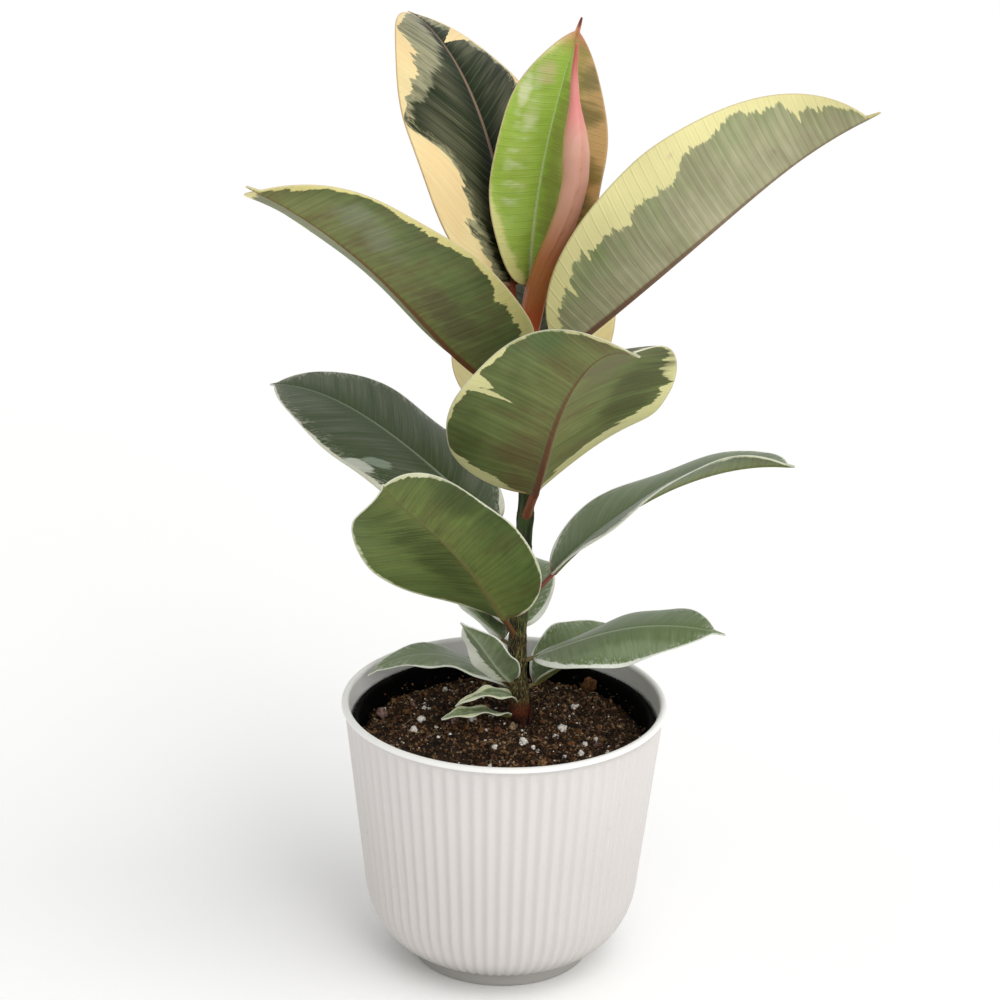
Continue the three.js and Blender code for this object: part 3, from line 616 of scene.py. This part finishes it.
    def midrib_stalk_and_edge(self, base):
        rib_edge = self.by_face(1.2, {"young": 2.6, "fresh": 2.3}.get(self.leaf["upper"], 1.2))
        rib = self.rib.step(rib_edge, 0.7) * self.share.range(1.0, 0.35)
        base = rib.mix(base, self.midrib)
        base = self.vein.step(2.5, -1.5).mix(base, self.leaf["stalk"])
        return (self.edge.step(0.7, 0.15) * 0.75).mix(base, self.rim)

    def young_marks(self, base):
        """Painted highlights in streaks on the left half, and a red brown tip."""
        # Painted highlights: whitish streaks of reflected light
        painted_highlights = self.streaks(0.2, 0.05, 2.0, 71.0).step(0.42, 0.72)
        highlight_spot = self.from_spot(1, 60, 16, 36, 9).step(1.2, 0.1)
        base = (highlight_spot * painted_highlights * 0.6).mix(base, "#DDE6C0")
        base = (self.share.step(0.84, 0.95) * 0.75).mix(base, "#C27A62")
        return self.share.step(0.95, 0.98).mix(base, "#7E4236")

    def made(self):
        """The finished material."""
        base = self.veins(self.tints(self.green_and_margin()))
        base = self.midrib_stalk_and_edge(base)
        if self.leaf["upper"] == "young":
            base = self.young_marks(base)
        roughness = self.by_face(0.52, 0.36) + around(self.fine, 0.14)
        small_veins = self.wave(self.vein * (math.tau * 3 / self.spacing))
        height = self.main_veins * 0.5 + small_veins * 0.03 + self.fine * 0.3 + self.bands
        return self.finished(base, roughness, height, 0.00025, 0.7)


def stem_look():
    """Green above and streaked bark below. place holds the way round, the height and the scar."""
    look = Look("stem_bark", 0.3)
    round_way, height, scar = look.attribute("place")
    waves = look.noise(look.vector(round_way * 1.15, height * 0.15, 2.0), 1.0, 2.0, 0.6)
    fine = look.noise(look.vector(round_way * 3.0, height * 0.5, 8.0), 1.0, 3.0, 0.6)
    broad = look.noise(look.vector(round_way * 0.3, height * 0.06, 5.0), 1.0, 2.0)
    streaks = abs(waves - 0.5).step(0.05, 0.01)
    green = broad.step(0.35, 0.65).mix("#20260F", "#46592A")
    bark = (streaks * 0.8).mix(broad.mix("#12140A", "#23270F"), "#ABA05E")
    rust = fine.step(0.35, 0.65).mix("#2E1007", "#8A3A14")
    base = (height + around(broad, 26)).step(*STEM_BANDS["bark"]).mix(bark, green)
    base = (height + waves * 14).step(*STEM_BANDS["rust"]).mix(base, rust)
    # Painted shade: the stem is darkest just above the soil
    base = height.step(*STEM_BANDS["foot"]).mix(base, "#1C0D08")
    base = (scar * 0.7).mix(base, "#5A3420")
    base = fine.range(0.0, 0.35).mix(base, "#15120A")
    relief = height.step(*STEM_BANDS["relief"]).range(0.3, 1.0)
    return look.finished(base, 0.55, (streaks * 0.6 + fine) * relief, 0.0004, 0.8)


def sheath_look():
    """Red and pink skin. place holds the way round and the height."""
    look = Look("sheath_skin", 0.5)
    round_way, height, _ = look.attribute("place")
    lines = look.noise(look.vector(round_way * 0.9, height * 0.02, 1.0), 1.0, 3.0)
    mottle = look.noise(look.vector(round_way * 0.12, height * 0.03, 4.0), 1.0, 2.0)
    base = mottle.mix("#AE5F36", "#CA915F")
    for heights, low, high in SHEATH_BANDS:
        base = height.step(*heights).mix(base, mottle.mix(low, high))
    base = lines.range(0.0, 0.25).mix(base, "#8A4632", "SOFT_LIGHT")
    return look.finished(base, lines.range(0.3, 0.5), lines, 0.00025, 0.6)


def white_plastic_look(name, low, high):
    """White plastic with painted shade that darkens it towards the floor, most at the foot."""
    look = Look(name, 0.4)
    place = look.place()
    clouds = look.noise(place, 22.0, 3.0)
    fine = look.noise(place, 900.0, 3.0, 0.6)
    specks = look.noise(place, 260.0, 1.0)
    height = look.parts(place)[2]
    base = clouds.mix(low, high)
    base = (specks.step(0.74, 0.82) * 0.15).mix(base, "#8C8073")
    # Painted shade: greyer towards the floor
    base = (height.step(0.13, 0.0) * 0.5).mix(base, "#BDB8B3")
    # Painted shade: darker still at the foot
    base = height.step(0.022, 0.004).mix(base, "#A19E99")
    return look.finished(base, fine.range(0.38, 0.56), fine + clouds * 0.6, 0.00012, 0.6)


def black_plastic_look():
    look = Look("nursery_plastic", 0.06)
    place = look.place()
    dust = look.noise(place, 160.0, 4.0, 0.65)
    base = (dust.step(0.56, 0.75) * 0.5).mix("#010101", "#2A2119")
    return look.finished(base, dust.range(0.5, 0.8), look.noise(place, 700.0, 2.0), 0.00015, 0.5)


def earth_look(name, dark, middle, light):
    look = Look(name, 0.2)
    place = look.place()
    clumps = look.noise(place, 140.0, 5.0, 0.65)
    crumbs = look.noise(place, 900.0, 4.0, 0.7)
    damp = look.noise(place, 45.0, 2.0).step(0.38, 0.6)
    base = crumbs.step(0.36, 0.64).mix(clumps.mix(dark, middle), light)
    base = clumps.step(0.26, 0.56).mix(dark, base)
    base = damp.range(0.34, 0.0).mix(base, "#0A0604")
    return look.finished(base, 0.95, crumbs + clumps * 1.5, 0.0009, 1.0)


def stone_look(name, light, shade):
    look = Look(name, 0.3)
    pits = look.noise(look.place(), 1500.0, 3.0, 0.6)
    return look.finished(pits.step(0.35, 0.6).mix(shade, light), 0.85, pits, 0.0004, 1.0)


# Cover pot
def shoulder_point(t):
    """A point on the curve from the taper's end down to the foot."""
    a, b, c = POT["taper_end"], POT["shoulder"], POT["foot"]
    return tuple((1 - t) ** 2 * a[k] + 2 * t * (1 - t) * b[k] + t * t * c[k] for k in (0, 1))


def arc_points(centre, radius, start, end, count):
    """Points on an arc in the profile's plane, from one angle to another in degrees."""
    return [(centre[0] + radius * math.cos(math.radians(a)), centre[1] + radius * math.sin(math.radians(a)))
            for a in np.linspace(start, end, count)]


def cover_pot():
    height, rim, wall, floor = POT["height"], POT["rim_radius"], POT["wall"], POT["floor"]
    neck, neck_r = height - POT["rim_band"], POT["neck_radius"]
    foot_r, foot_z = POT["foot"]
    end_r, end_z = POT["taper_end"]
    curve, lip = 1.2, wall / 2
    foot = arc_points((foot_r - curve, curve), curve, -90, 0, 6)
    foot += [(foot_r, 3.2), (foot_r - 0.4, foot_z - 0.9)]
    shoulder = [shoulder_point(t) for t in np.linspace(1, 0, 22)]
    side = [(end_r + (neck_r - end_r) * t, end_z + (neck - end_z) * t) for t in np.linspace(0, 1, 26)[1:]]
    band = [(rim - 0.9, neck + 0.1), (rim - 0.25, neck + 0.3), (rim, neck + 0.65)]
    top = arc_points((rim - lip, height - lip), lip, 0, 180, 12)
    inside = [(rim - wall, height - 5), (end_r - wall, end_z), (end_r - wall - 2.5, 26), (51, 14.5),
              (44, floor), (20, floor), (AXIS_GAP, floor)]
    profile = [(AXIS_GAP, 0.0), (20, 0.0)] + foot + shoulder + side + band + top + inside
    ribbed = slice(2 + len(foot), 2 + len(foot) + len(shoulder) + len(side))
    z = np.array([p[1] for p in profile])[ribbed]
    share = np.zeros(len(profile))
    share[ribbed] = smooth(foot_z - 0.5, foot_z + 2.5, z) * smooth(neck, neck - 3, z)
    sides = POT["ribs"] * 10
    ribs = -POT["rib_depth"] / 2 * share[:, None] * (1 - np.cos(POT["ribs"] * turns(sides)))
    shape = Shape()
    shape.add(*ring_skin(revolved(profile, sides, ribs)))
    # The rim's top and the inside take a lighter copy of the white plastic: painted light on the inner wall
    # and the rim's top
    outside = (ribbed.stop + len(band) - 1) * sides
    shape.slots[outside:] = [1] * (len(shape.slots) - outside)
    looks = [white_plastic_look("pot_outside", "#D4CFCC", "#DBD7D4"),
             white_plastic_look("pot_inside_painted_light", "#ECEBE8", "#F2F1EE")]
    install(mesh_object("cover_pot_moulding", shape, looks), "cover_pot", "white_plastic")


# Nursery pot
def nursery_pot():
    top, rim, foot, wall, lip = NURSERY.values()
    bottom = POT["floor"] + 0.3
    lip_bottom = top - 4
    inner = rim - lip - wall
    profile = [
        (AXIS_GAP, bottom), (foot, bottom), (foot + 3, bottom + 4), (rim - lip, lip_bottom),
        (rim - 0.3, lip_bottom + 0.2), (rim, lip_bottom + 0.6), (rim, top - 0.7), (rim - 0.3, top - 0.2),
        (rim - 0.8, top), (inner + 0.5, top), (inner, top - 0.6), (inner, lip_bottom),
        (foot + 3 - wall, bottom + 4), (foot - 1, bottom + wall), (AXIS_GAP, bottom + wall),
    ]
    shape = Shape()
    shape.add(*ring_skin(revolved(profile, 180)))
    install(mesh_object("nursery_pot_shell", shape, [black_plastic_look()]), "nursery_pot", "black_plastic")


# Soil
def soil_height(x, y):
    r, angle = math.hypot(x, y), math.atan2(y, x)
    dome = SOIL["mound"] * (1 - (r / SOIL["edge_radius"]) ** 2)
    bumps = math.sin(3 * angle + r / 9) * math.cos(r / 7 + 1) + 0.6 * math.sin(7 * angle - r / 6)
    lumps = noise.fractal(Vector((x, y, 0)) * 0.16, 0.9, 2.1, 4) * 1.1
    return SOIL["edge_height"] + dome + SOIL["lump"] * bumps * min(1, r / 20) + lumps


def soil_body():
    """Loops of the uneven ground, out from the middle and back under it."""
    edge, sides = SOIL["edge_radius"], 240
    floor = POT["floor"] + 0.6 + NURSERY["wall"]
    rows = []
    for r in np.concatenate([[0.4], np.linspace(1.5, edge, 62)]):
        x, y = r * np.cos(turns(sides)), r * np.sin(turns(sides))
        rows.append([(a, b, soil_height(a, b)) for a, b in zip(x, y)])
    for r, z in ((edge, SOIL["edge_height"] - 4), (43, floor + 3), (39, floor), (1, floor)):
        rows.append([(r * math.cos(a), r * math.sin(a), z) for a in turns(sides)])
    return np.array(rows)


def unit_grain(subdivisions):
    made = bmesh.new()
    bmesh.ops.create_icosphere(made, subdivisions=subdivisions, radius=1)
    points = [v.co.copy() for v in made.verts]
    faces = [[v.index for v in f.verts] for f in made.faces]
    made.free()
    return points, faces


GRAINS = {detail: unit_grain(detail) for detail in (1, 2)}


def grain(size, flatness=0.8, rough=0.35, detail=1):
    """Points and faces of one lump about the origin."""
    unit_points, faces = GRAINS[detail]
    stretch = [size * draw.uniform(0.7, 1.2) / 2 for _ in range(3)]
    stretch[2] *= flatness
    seed = Vector([draw.uniform(0, 90) for _ in range(3)])
    angle, axis = draw.uniform(0, 6.28), Vector([draw.gauss(0, 1) for _ in range(3)])
    turn = Matrix.Rotation(angle, 3, axis.normalized())
    points = []
    for p in unit_points:
        swell = 1 + rough * noise.noise(p * 1.9 + seed)
        points.append(turn @ Vector([p[k] * stretch[k] * swell for k in range(3)]))
    return points, faces


def soil_spot(clear):
    """A random place on the soil, clear of the stem."""
    while True:
        r = (SOIL["edge_radius"] - 1) * math.sqrt(draw.random())
        angle = draw.uniform(0, math.tau)
        x, y = r * math.cos(angle), r * math.sin(angle)
        if math.hypot(x - STEM_FOOT[0], y - STEM_FOOT[1]) > clear:
            return x, y


def lay(shape, lump, place, kind):
    points, faces = lump
    shape.add([p + Vector(place) for p in points], faces, kind)


def drop(shape, x, y, size, kind, detail=1, flatness=0.8, lift=0.2):
    """One crumb that lies on the soil, its middle lifted by a share of its size."""
    lay(shape, grain(size, flatness, 0.7, detail), (x, y, soil_height(x, y) + size * lift), kind)


def scatter(shape, count, sizes, kinds, detail=1, flatness=0.8, clear=8.0):
    """Crumbs of random sizes and kinds at random places."""
    for _ in range(count):
        drop(shape, *soil_spot(clear), draw.uniform(*sizes), draw.choice(kinds), detail, flatness)


def edge_crumbs(shape):
    """Crumbs along the wall of the nursery pot."""
    for _ in range(160):
        angle, r = draw.uniform(0, math.tau), draw.uniform(62, 63)
        crumb = grain(draw.uniform(0.5, 1.5))
        height = SOIL["edge_height"] + draw.uniform(0, 1) ** 2 * 5
        place = (r * math.cos(angle), r * math.sin(angle), height)
        lay(shape, crumb, place, draw.choice((BASE, DARK, BROWN)))


def perlite_and_lumps(shape):
    for x, y, size in PERLITE_SPOTS:
        drop(shape, x, y, size * 0.95, PERLITE, 2, 0.85, 0.3)
        off = 0.42 * size
        for _ in range(5):
            turn, part = draw.uniform(0, math.tau), size * draw.uniform(0.3, 0.55)
            drop(shape, x + off * math.cos(turn), y + off * math.sin(turn), part, PERLITE, 1, 0.85, 0.4)
    for kind, places in LUMPS.items():
        for x, y, size in places:
            drop(shape, x, y, size, kind, 2, 0.6, 0.3)


def fibre(shape, x, y, length, radius, kind):
    """A thin bent root or fibre lying on the soil."""
    heading = draw.uniform(0, math.tau)
    bend = draw.uniform(-1.4, 1.4)
    loops = []
    for t in np.linspace(0, 1, 7):
        way = heading + bend * (t - 0.5)
        px, py = x + length * (t - 0.5) * math.cos(way), y + length * (t - 0.5) * math.sin(way)
        if math.hypot(px, py) > SOIL["edge_radius"] - 1:
            return
        pz = soil_height(px, py) + radius + 0.7 * math.sin(math.pi * t)
        thin = radius * (1 - 0.6 * abs(2 * t - 1))
        loops.append([(px - thin * math.cos(a) * math.sin(way), py + thin * math.cos(a) * math.cos(way),
                       pz + thin * math.sin(a)) for a in turns(5)])
    shape.add(*ring_skin(np.array(loops)), kind)


def soil_looks():
    """The soil's materials, in the order of the kinds of crumb."""
    return [
        earth_look("soil_base", "#080503", "#24170F", "#4A3524"),
        earth_look("soil_crumb_dark", "#140D09", "#3E2A1C", "#785236"),
        earth_look("soil_crumb_brown", "#2A1A12", "#6A482E", "#A87F55"),
        stone_look("perlite", "#F4EEE6", "#B0A69C"),
        earth_look("bark_chip", "#2E1B10", "#6A452A", "#93663C"),
        earth_look("soil_crumb_tan", "#4A3828", "#86694C", "#BCA382"),
        earth_look("soil_crumb_rose", "#3A2824", "#735650", "#A08478"),
    ]


def soil():
    shape = Shape()
    shape.add(*ring_skin(soil_body(), flip=True))
    scatter(shape, 4200, (0.6, 1.8), (BASE, DARK, DARK, BROWN, BROWN, TAN), clear=6.5)
    edge_crumbs(shape)
    scatter(shape, 60, (2.2, 4), (DARK, BROWN), 2, 0.6)
    scatter(shape, 240, (0.4, 1.4), (PERLITE, PERLITE, TAN))
    perlite_and_lumps(shape)
    scatter(shape, 46, (1.8, 3.6), (BROWN, BARK, ROSE), 2, 0.5)
    for _ in range(240):
        x, y = soil_spot(8.0)
        fibre(shape, x, y, draw.uniform(4, 13), draw.uniform(0.1, 0.26), draw.choice((BROWN, TAN, DARK)))
    install(mesh_object("soil_mix", shape, soil_looks()), "soil", "soil")


# Stem
def stem_radius(z):
    bottom, top, wide, narrow = STEM["bottom"], STEM["top"], STEM["bottom_radius"], STEM["top_radius"]
    base = wide + (narrow - wide) * (z - bottom) / (top - bottom)
    foot = STEM["flare"] * np.exp(-(((z - SOIL["edge_height"] - SOIL["mound"]) / 9) ** 2))
    nodes = np.max([np.exp(-(((z - leaf["height"]) / 3) ** 2)) for leaf in LEAVES], 0)
    return base + foot + STEM["node_swell"] * nodes


def stem():
    z = np.linspace(STEM["bottom"], STEM["top"], 430)
    sides = 64
    angle = turns(sides)
    scars = [np.exp(-(((z - leaf["height"] - SCAR["above_leaf"]) / SCAR["width"]) ** 2)) for leaf in LEAVES]
    scar = np.max(scars, 0)
    rough = np.array([[noise.noise(Vector((6 * math.cos(a), 6 * math.sin(a), h * 0.12))) for a in angle]
                      for h in z])
    bark = 0.22 * smooth(*BARK_TOP, z)[:, None] * rough
    x, y, _ = stem_axis(z).T
    loops = loops_round((stem_radius(z) + SCAR["height"] * scar)[:, None] + bark, z, x, y)
    round_way = np.abs(angle - math.pi) * 4.2
    place = np.stack([np.tile(round_way, (len(z), 1)), spread(z, sides), spread(scar, sides)], -1)
    shape = Shape(["place"])
    shape.add(*ring_skin(loops), place=place.reshape(-1, 3))
    for bearing, low, high, lean in DRY_SCALES:
        dry_scale(shape, bearing, low, high, lean)
    install(mesh_object("stem_bark_surface", shape, [stem_look()]), "stem", "bark")


def dry_scale(shape, bearing, low, high, lean):
    """A dry scale at the foot of the stem, which stands off it towards its top and is as brown as a scar."""
    heading = math.radians(bearing)
    out_x, out_y = math.cos(heading), math.sin(heading)
    loops = []
    for t in np.linspace(0, 1, 9):
        z = low + (high - low) * t
        cx, cy, _ = stem_axis(np.array(z))
        out = stem_radius(np.array([z]))[0] + lean * t ** 1.5
        wide, thick = 1.5 * math.sin(math.pi * (0.25 + 0.72 * t)), 0.45 * (1 - 0.5 * t)
        ring = [(out + thick * math.cos(a), wide * math.sin(a)) for a in turns(10)]
        loops.append([(cx + away * out_x - aside * out_y, cy + away * out_y + aside * out_x, z)
                      for away, aside in ring])
    points, faces = ring_skin(np.array(loops))
    shape.add(points, faces, place=[(8 + k % 10, 112, 0.8) for k in range(len(points))])


# Sheath
def sheath():
    """A rolled sheath whose seam winds round it."""
    rows, sides = 150, 56
    t = np.linspace(0, 1, rows)
    places = np.array([s[1] for s in SHEATH], float)
    z = places[0] + (places[-1] - places[0]) * t
    window = np.hanning(11) / np.hanning(11).sum()
    x, r = (np.convolve(np.pad(np.interp(z, places, [s[k] for s in SHEATH]), 5, "edge"), window, "valid")
            for k in (0, 2))
    seam = math.radians(235) + 1.6 * t[:, None]
    wrap = ((turns(sides) - seam) % math.tau) / math.tau
    radius = r[:, None] * (0.97 + 0.1 * wrap * smooth(0, 0.04, wrap))
    loops = loops_round(radius, z, x, SHEATH_DEPTH + SHEATH_LEAN * (z - z[0]))
    round_way = np.abs(wrap - 0.5) * math.tau * r[:, None]
    place = np.stack([round_way, spread(z, sides), np.zeros((rows, sides))], -1)
    shape = Shape(["place"])
    shape.add(*ring_skin(loops), place=place.reshape(-1, 3))
    install(mesh_object("sheath_roll", shape, [sheath_look()]), "sheath", "sheath")


# Leaves
def blade_profile(s, drip):
    """Half width of a blade, as a share of its widest."""
    along = np.minimum(s / (1 - drip), 1)
    m = BLADE["widest"]
    low = np.sqrt(1 - np.clip((m - along) / m, 0, 1) ** BLADE["base_curve"])
    high = (1 - np.clip((along - m) / (1 - m), 0, 1) ** BLADE["tip_curve"]) ** 0.85
    return np.where(along < m, low, high)


def tail_half(s, drip):
    """Half width of the drip tip."""
    start, end = BLADE["tail"]
    return start + (end - start) * np.maximum(0, (s - 1) / (2 * drip) + 1)


def leaf_frame(leaf, share, s):
    """Directions at shares of the leaf's whole length: along, to the left and out of the upper face."""
    bearing, rise = angle_spline(leaf["bearing"], share), angle_spline(leaf["rise"], share)
    roll = angle_spline(leaf["roll"], s)
    along = np.stack([np.cos(rise) * np.cos(bearing), np.cos(rise) * np.sin(bearing), np.sin(rise)], -1)
    level = np.stack([-np.sin(bearing), np.cos(bearing), np.zeros_like(bearing)], -1)
    above = np.cross(along, level)
    c, d = np.cos(roll)[:, None], np.sin(roll)[:, None]
    return along, c * level + d * above, c * above - d * level


def leaf_path(leaf, share):
    """The midrib's points at shares of the leaf's whole length."""
    steps = 80
    total = leaf["petiole"][0] + leaf["length"]
    middles = (np.arange(steps) + 0.5) / steps
    along, _, _ = leaf_frame(leaf, middles, np.zeros(steps))
    bearing, distance = leaf["seat"]
    root = stem_axis(np.array(float(leaf["height"])))
    root = root + distance * np.array([math.cos(math.radians(bearing)), math.sin(math.radians(bearing)), 0])
    path = np.vstack([root, root + np.cumsum(along, 0) * total / steps])
    return np.stack([np.interp(share, np.linspace(0, 1, steps + 1), path[:, k]) for k in range(3)], -1)


def blade_faces(rows, columns):
    """Quads of the upper face, the underside and the edge that joins them all round."""
    count = rows * columns
    faces = grid_faces(rows, columns)
    faces += [tuple(count + i for i in face) for face in grid_faces(rows, columns, flip=True)]
    sides, ends = ((0, True), (columns - 1, False)), ((0, False), (rows - 1, True))
    rims = [(i * columns + j, (i + 1) * columns + j, flip) for i in range(rows - 1) for j, flip in sides]
    rims += [(i * columns + j, i * columns + j + 1, flip) for i, flip in ends for j in range(columns - 1)]
    for a, b, flip in rims:
        quad = (a, count + a, count + b, b)
        faces.append(quad[::-1] if flip else quad)
    return faces


def blade(leaf, index, shape):
    """The blade's two faces, its edges and its ends."""
    rows = 120 if leaf["length"] >= LARGE_LEAF else 70
    length, widest, drip = leaf["length"], leaf["width"] / 2, leaf["drip"]
    petiole_length, petiole_radius = leaf["petiole"]
    s = (1 - np.cos(np.linspace(0.02, math.pi, rows))) / 2
    share = (petiole_length + s * length) / (petiole_length + length)
    centre = leaf_path(leaf, share)
    _, left, up = leaf_frame(leaf, share, s)
    half = np.maximum(widest * blade_profile(s, drip), tail_half(s, drip))
    rib = np.minimum(np.maximum(BLADE["midrib"], petiole_radius * (1 - s) ** 1.2), 0.35 * half)
    slope = leaf["slant"] * (0.2 + 0.6 * smooth(0, 0.4, s))
    faces = ((1, 0.3 + 0.45 * (1 - s)), (0, 0.95 * rib))  # which face, and half its midrib's coloured width
    columns = HALF_COLUMNS[::-1] + tuple(-t for t in HALF_COLUMNS[1:])
    top, bottom, places, patterns, zones = [], [], [], [], []
    for t in columns:
        which = 0 if t >= 0 else 1
        side = 1 - 2 * which
        fold = angle_spline(leaf["fold"][which], s)
        turn = (angle_spline(leaf["curl"][which], s) + STRAIGHT) / widest
        distance = abs(t) * half
        angle = fold + turn * distance
        out = side * (np.sin(angle) - np.sin(fold)) / turn
        rise = (np.cos(fold) - np.cos(angle)) / turn
        tilt = angle * smooth(0, 1, distance / np.maximum(rib, 0.5) / 1.6)
        normal = (-np.sin(tilt) * side)[:, None] * left + np.cos(tilt)[:, None] * up
        place = centre + out[:, None] * left + rise[:, None] * up
        phase = math.tau * BLADE["waves"] * s + index * 2.4 + which * 1.9
        ripple = BLADE["wave"] * (half / widest) * t ** 2 * np.sin(phase)
        thick = BLADE["thickness"] / 2 * (1 - 0.5 * abs(t) ** 6)
        ridge = RIDGE * rib * np.exp(-((distance / rib) ** 2))
        groove = GROOVE["depth"] * np.exp(-((distance / GROOVE["width"]) ** 2)) * (1 - 0.6 * s)
        top.append(place + normal * (ripple + thick - groove)[:, None])
        bottom.append(place + normal * (ripple - thick - ridge)[:, None])
        vein = s * length - distance * slope - 0.1 * distance ** 2 / widest
        green, dark = ((spline(leaf[k][which], s) - abs(t)) * half for k in ("green", "dark"))
        places.append([np.stack([half - distance, distance / line, np.full(rows, face)], -1)
                       for face, line in faces])
        patterns.append(np.stack([vein, t * half, green], -1))
        zones.append(np.stack([dark, s, s], -1))

    def in_rows(values):
        return np.stack(values, 1).reshape(-1, 3)

    place = [in_rows([p[face] for p in places]) for face in (0, 1)]
    shape.add(np.concatenate([in_rows(top), in_rows(bottom)]), blade_faces(rows, len(columns)),
              place=np.concatenate(place), pattern=np.tile(in_rows(patterns), (2, 1)),
              zone=np.tile(in_rows(zones), (2, 1)))


def petiole(leaf, shape):
    """The leaf's stalk, with a groove along the top, which runs on a little under the blade."""
    rows, sides = 44, 28
    length, radius = leaf["petiole"]
    end = length + 0.03 * leaf["length"]
    along = np.linspace(0, end, rows)
    share = along / (length + leaf["length"])
    centre = leaf_path(leaf, share)
    _, left, up = leaf_frame(leaf, share, np.zeros(rows))
    r = radius * (1.02 + 0.2 * np.exp(-((along / (3 * radius)) ** 2)) - 0.2 * smooth(length, end, along))
    centre = centre - (0.35 * radius * smooth(length * 0.7, end, along))[:, None] * up
    angle = turns(sides)
    groove = 1 - 0.16 * np.exp(-(((angle - math.pi / 2) / 0.5) ** 2))
    loops = (centre[:, None] + (r[:, None] * groove * np.cos(angle))[..., None] * left[:, None]
             + (0.9 * r[:, None] * groove * np.sin(angle))[..., None] * up[:, None])
    down, count = np.repeat(along - end - 3, sides), rows * sides
    shape.add(*ring_skin(loops), place=np.tile([FAR, FAR, 0.0], (count, 1)), zone=np.zeros((count, 3)),
              pattern=np.stack([down, np.tile(angle * radius, rows), np.full(count, FAR)], -1))


def leaves():
    for index, leaf in enumerate(LEAVES):
        name = f"leaf_{index + 1:02d}"
        shape = Shape(["place", "pattern", "zone"])
        blade(leaf, index, shape)
        petiole(leaf, shape)
        piece = mesh_object(name + "_blade", shape, [LeafLook(name + "_skin", leaf, index * 7.3).made()])
        install(piece, name, "young_leaf" if index == 0 else "leaf")


# Stage
def camera():
    pitch, roll = math.radians(CAMERA["pitch"]), math.radians(CAMERA["roll"])
    back = Vector((0, -math.cos(pitch), math.sin(pitch)))
    right, above = Vector((1, 0, 0)), Vector((0, math.sin(pitch), math.cos(pitch)))
    x_axis = math.cos(roll) * right + math.sin(roll) * above
    y_axis = math.cos(roll) * above - math.sin(roll) * right
    turn = Matrix((x_axis, y_axis, back)).transposed()
    place = Vector(CAMERA["target"]) + back * CAMERA["distance"]
    data = bpy.data.cameras.new("camera")
    data.sensor_width = SENSOR
    data.lens = CAMERA["focal_pixels"] * SENSOR / PICTURE
    data.clip_end = 200
    seen = bpy.data.objects.new("camera", data)
    seen.matrix_world = Matrix.Translation(place * MM) @ turn.to_4x4()
    bpy.context.scene.collection.objects.link(seen)
    bpy.context.scene.camera = seen


def light(name, kind, place, target, strength):
    """A light at a place in metres, turned to its target."""
    data = bpy.data.lights.new(name, kind)
    data.energy = strength
    made = bpy.data.objects.new(name, data)
    made.location = place
    made.rotation_euler = (Vector(target) - Vector(place)).to_track_quat("-Z", "Y").to_euler()
    bpy.context.scene.collection.objects.link(made)
    return data


def stage():
    far = 40000
    shape = Shape()
    shape.add([(-far, -far, 0), (far, -far, 0), (far, far, 0), (-far, far, 0)], [(0, 1, 2, 3)])
    look = Look("floor_paper", 0.1)
    look.set("Roughness", 0.9)
    look.set("Base Color", look.noise(look.place(), 3.0).mix("#FBFBFA", "#FDFDFC"))
    floor = mesh_object("floor", shape, [look.material])
    world = bpy.data.worlds.new("studio")
    world.use_nodes = True
    background = world.node_tree.nodes["Background"]
    background.inputs[0].default_value = (1, 1, 1, 1)
    background.inputs[1].default_value = 0.7
    bpy.context.scene.world = world
    key = light("key", "SUN", (0.75, -0.62, 1.15), (0, 0, 0), 1.38)
    key.angle = math.radians(60)
    front = light("front", "AREA", (0.9, -2.0, 1.2), (0, 0, 0.2), 6)
    front.shape, front.size = "DISK", 0.9
    view = bpy.context.scene.view_settings
    view.view_transform, view.look = "Standard", "None"


camera()
cover_pot()
nursery_pot()
soil()
stem()
sheath()
leaves()
stage()
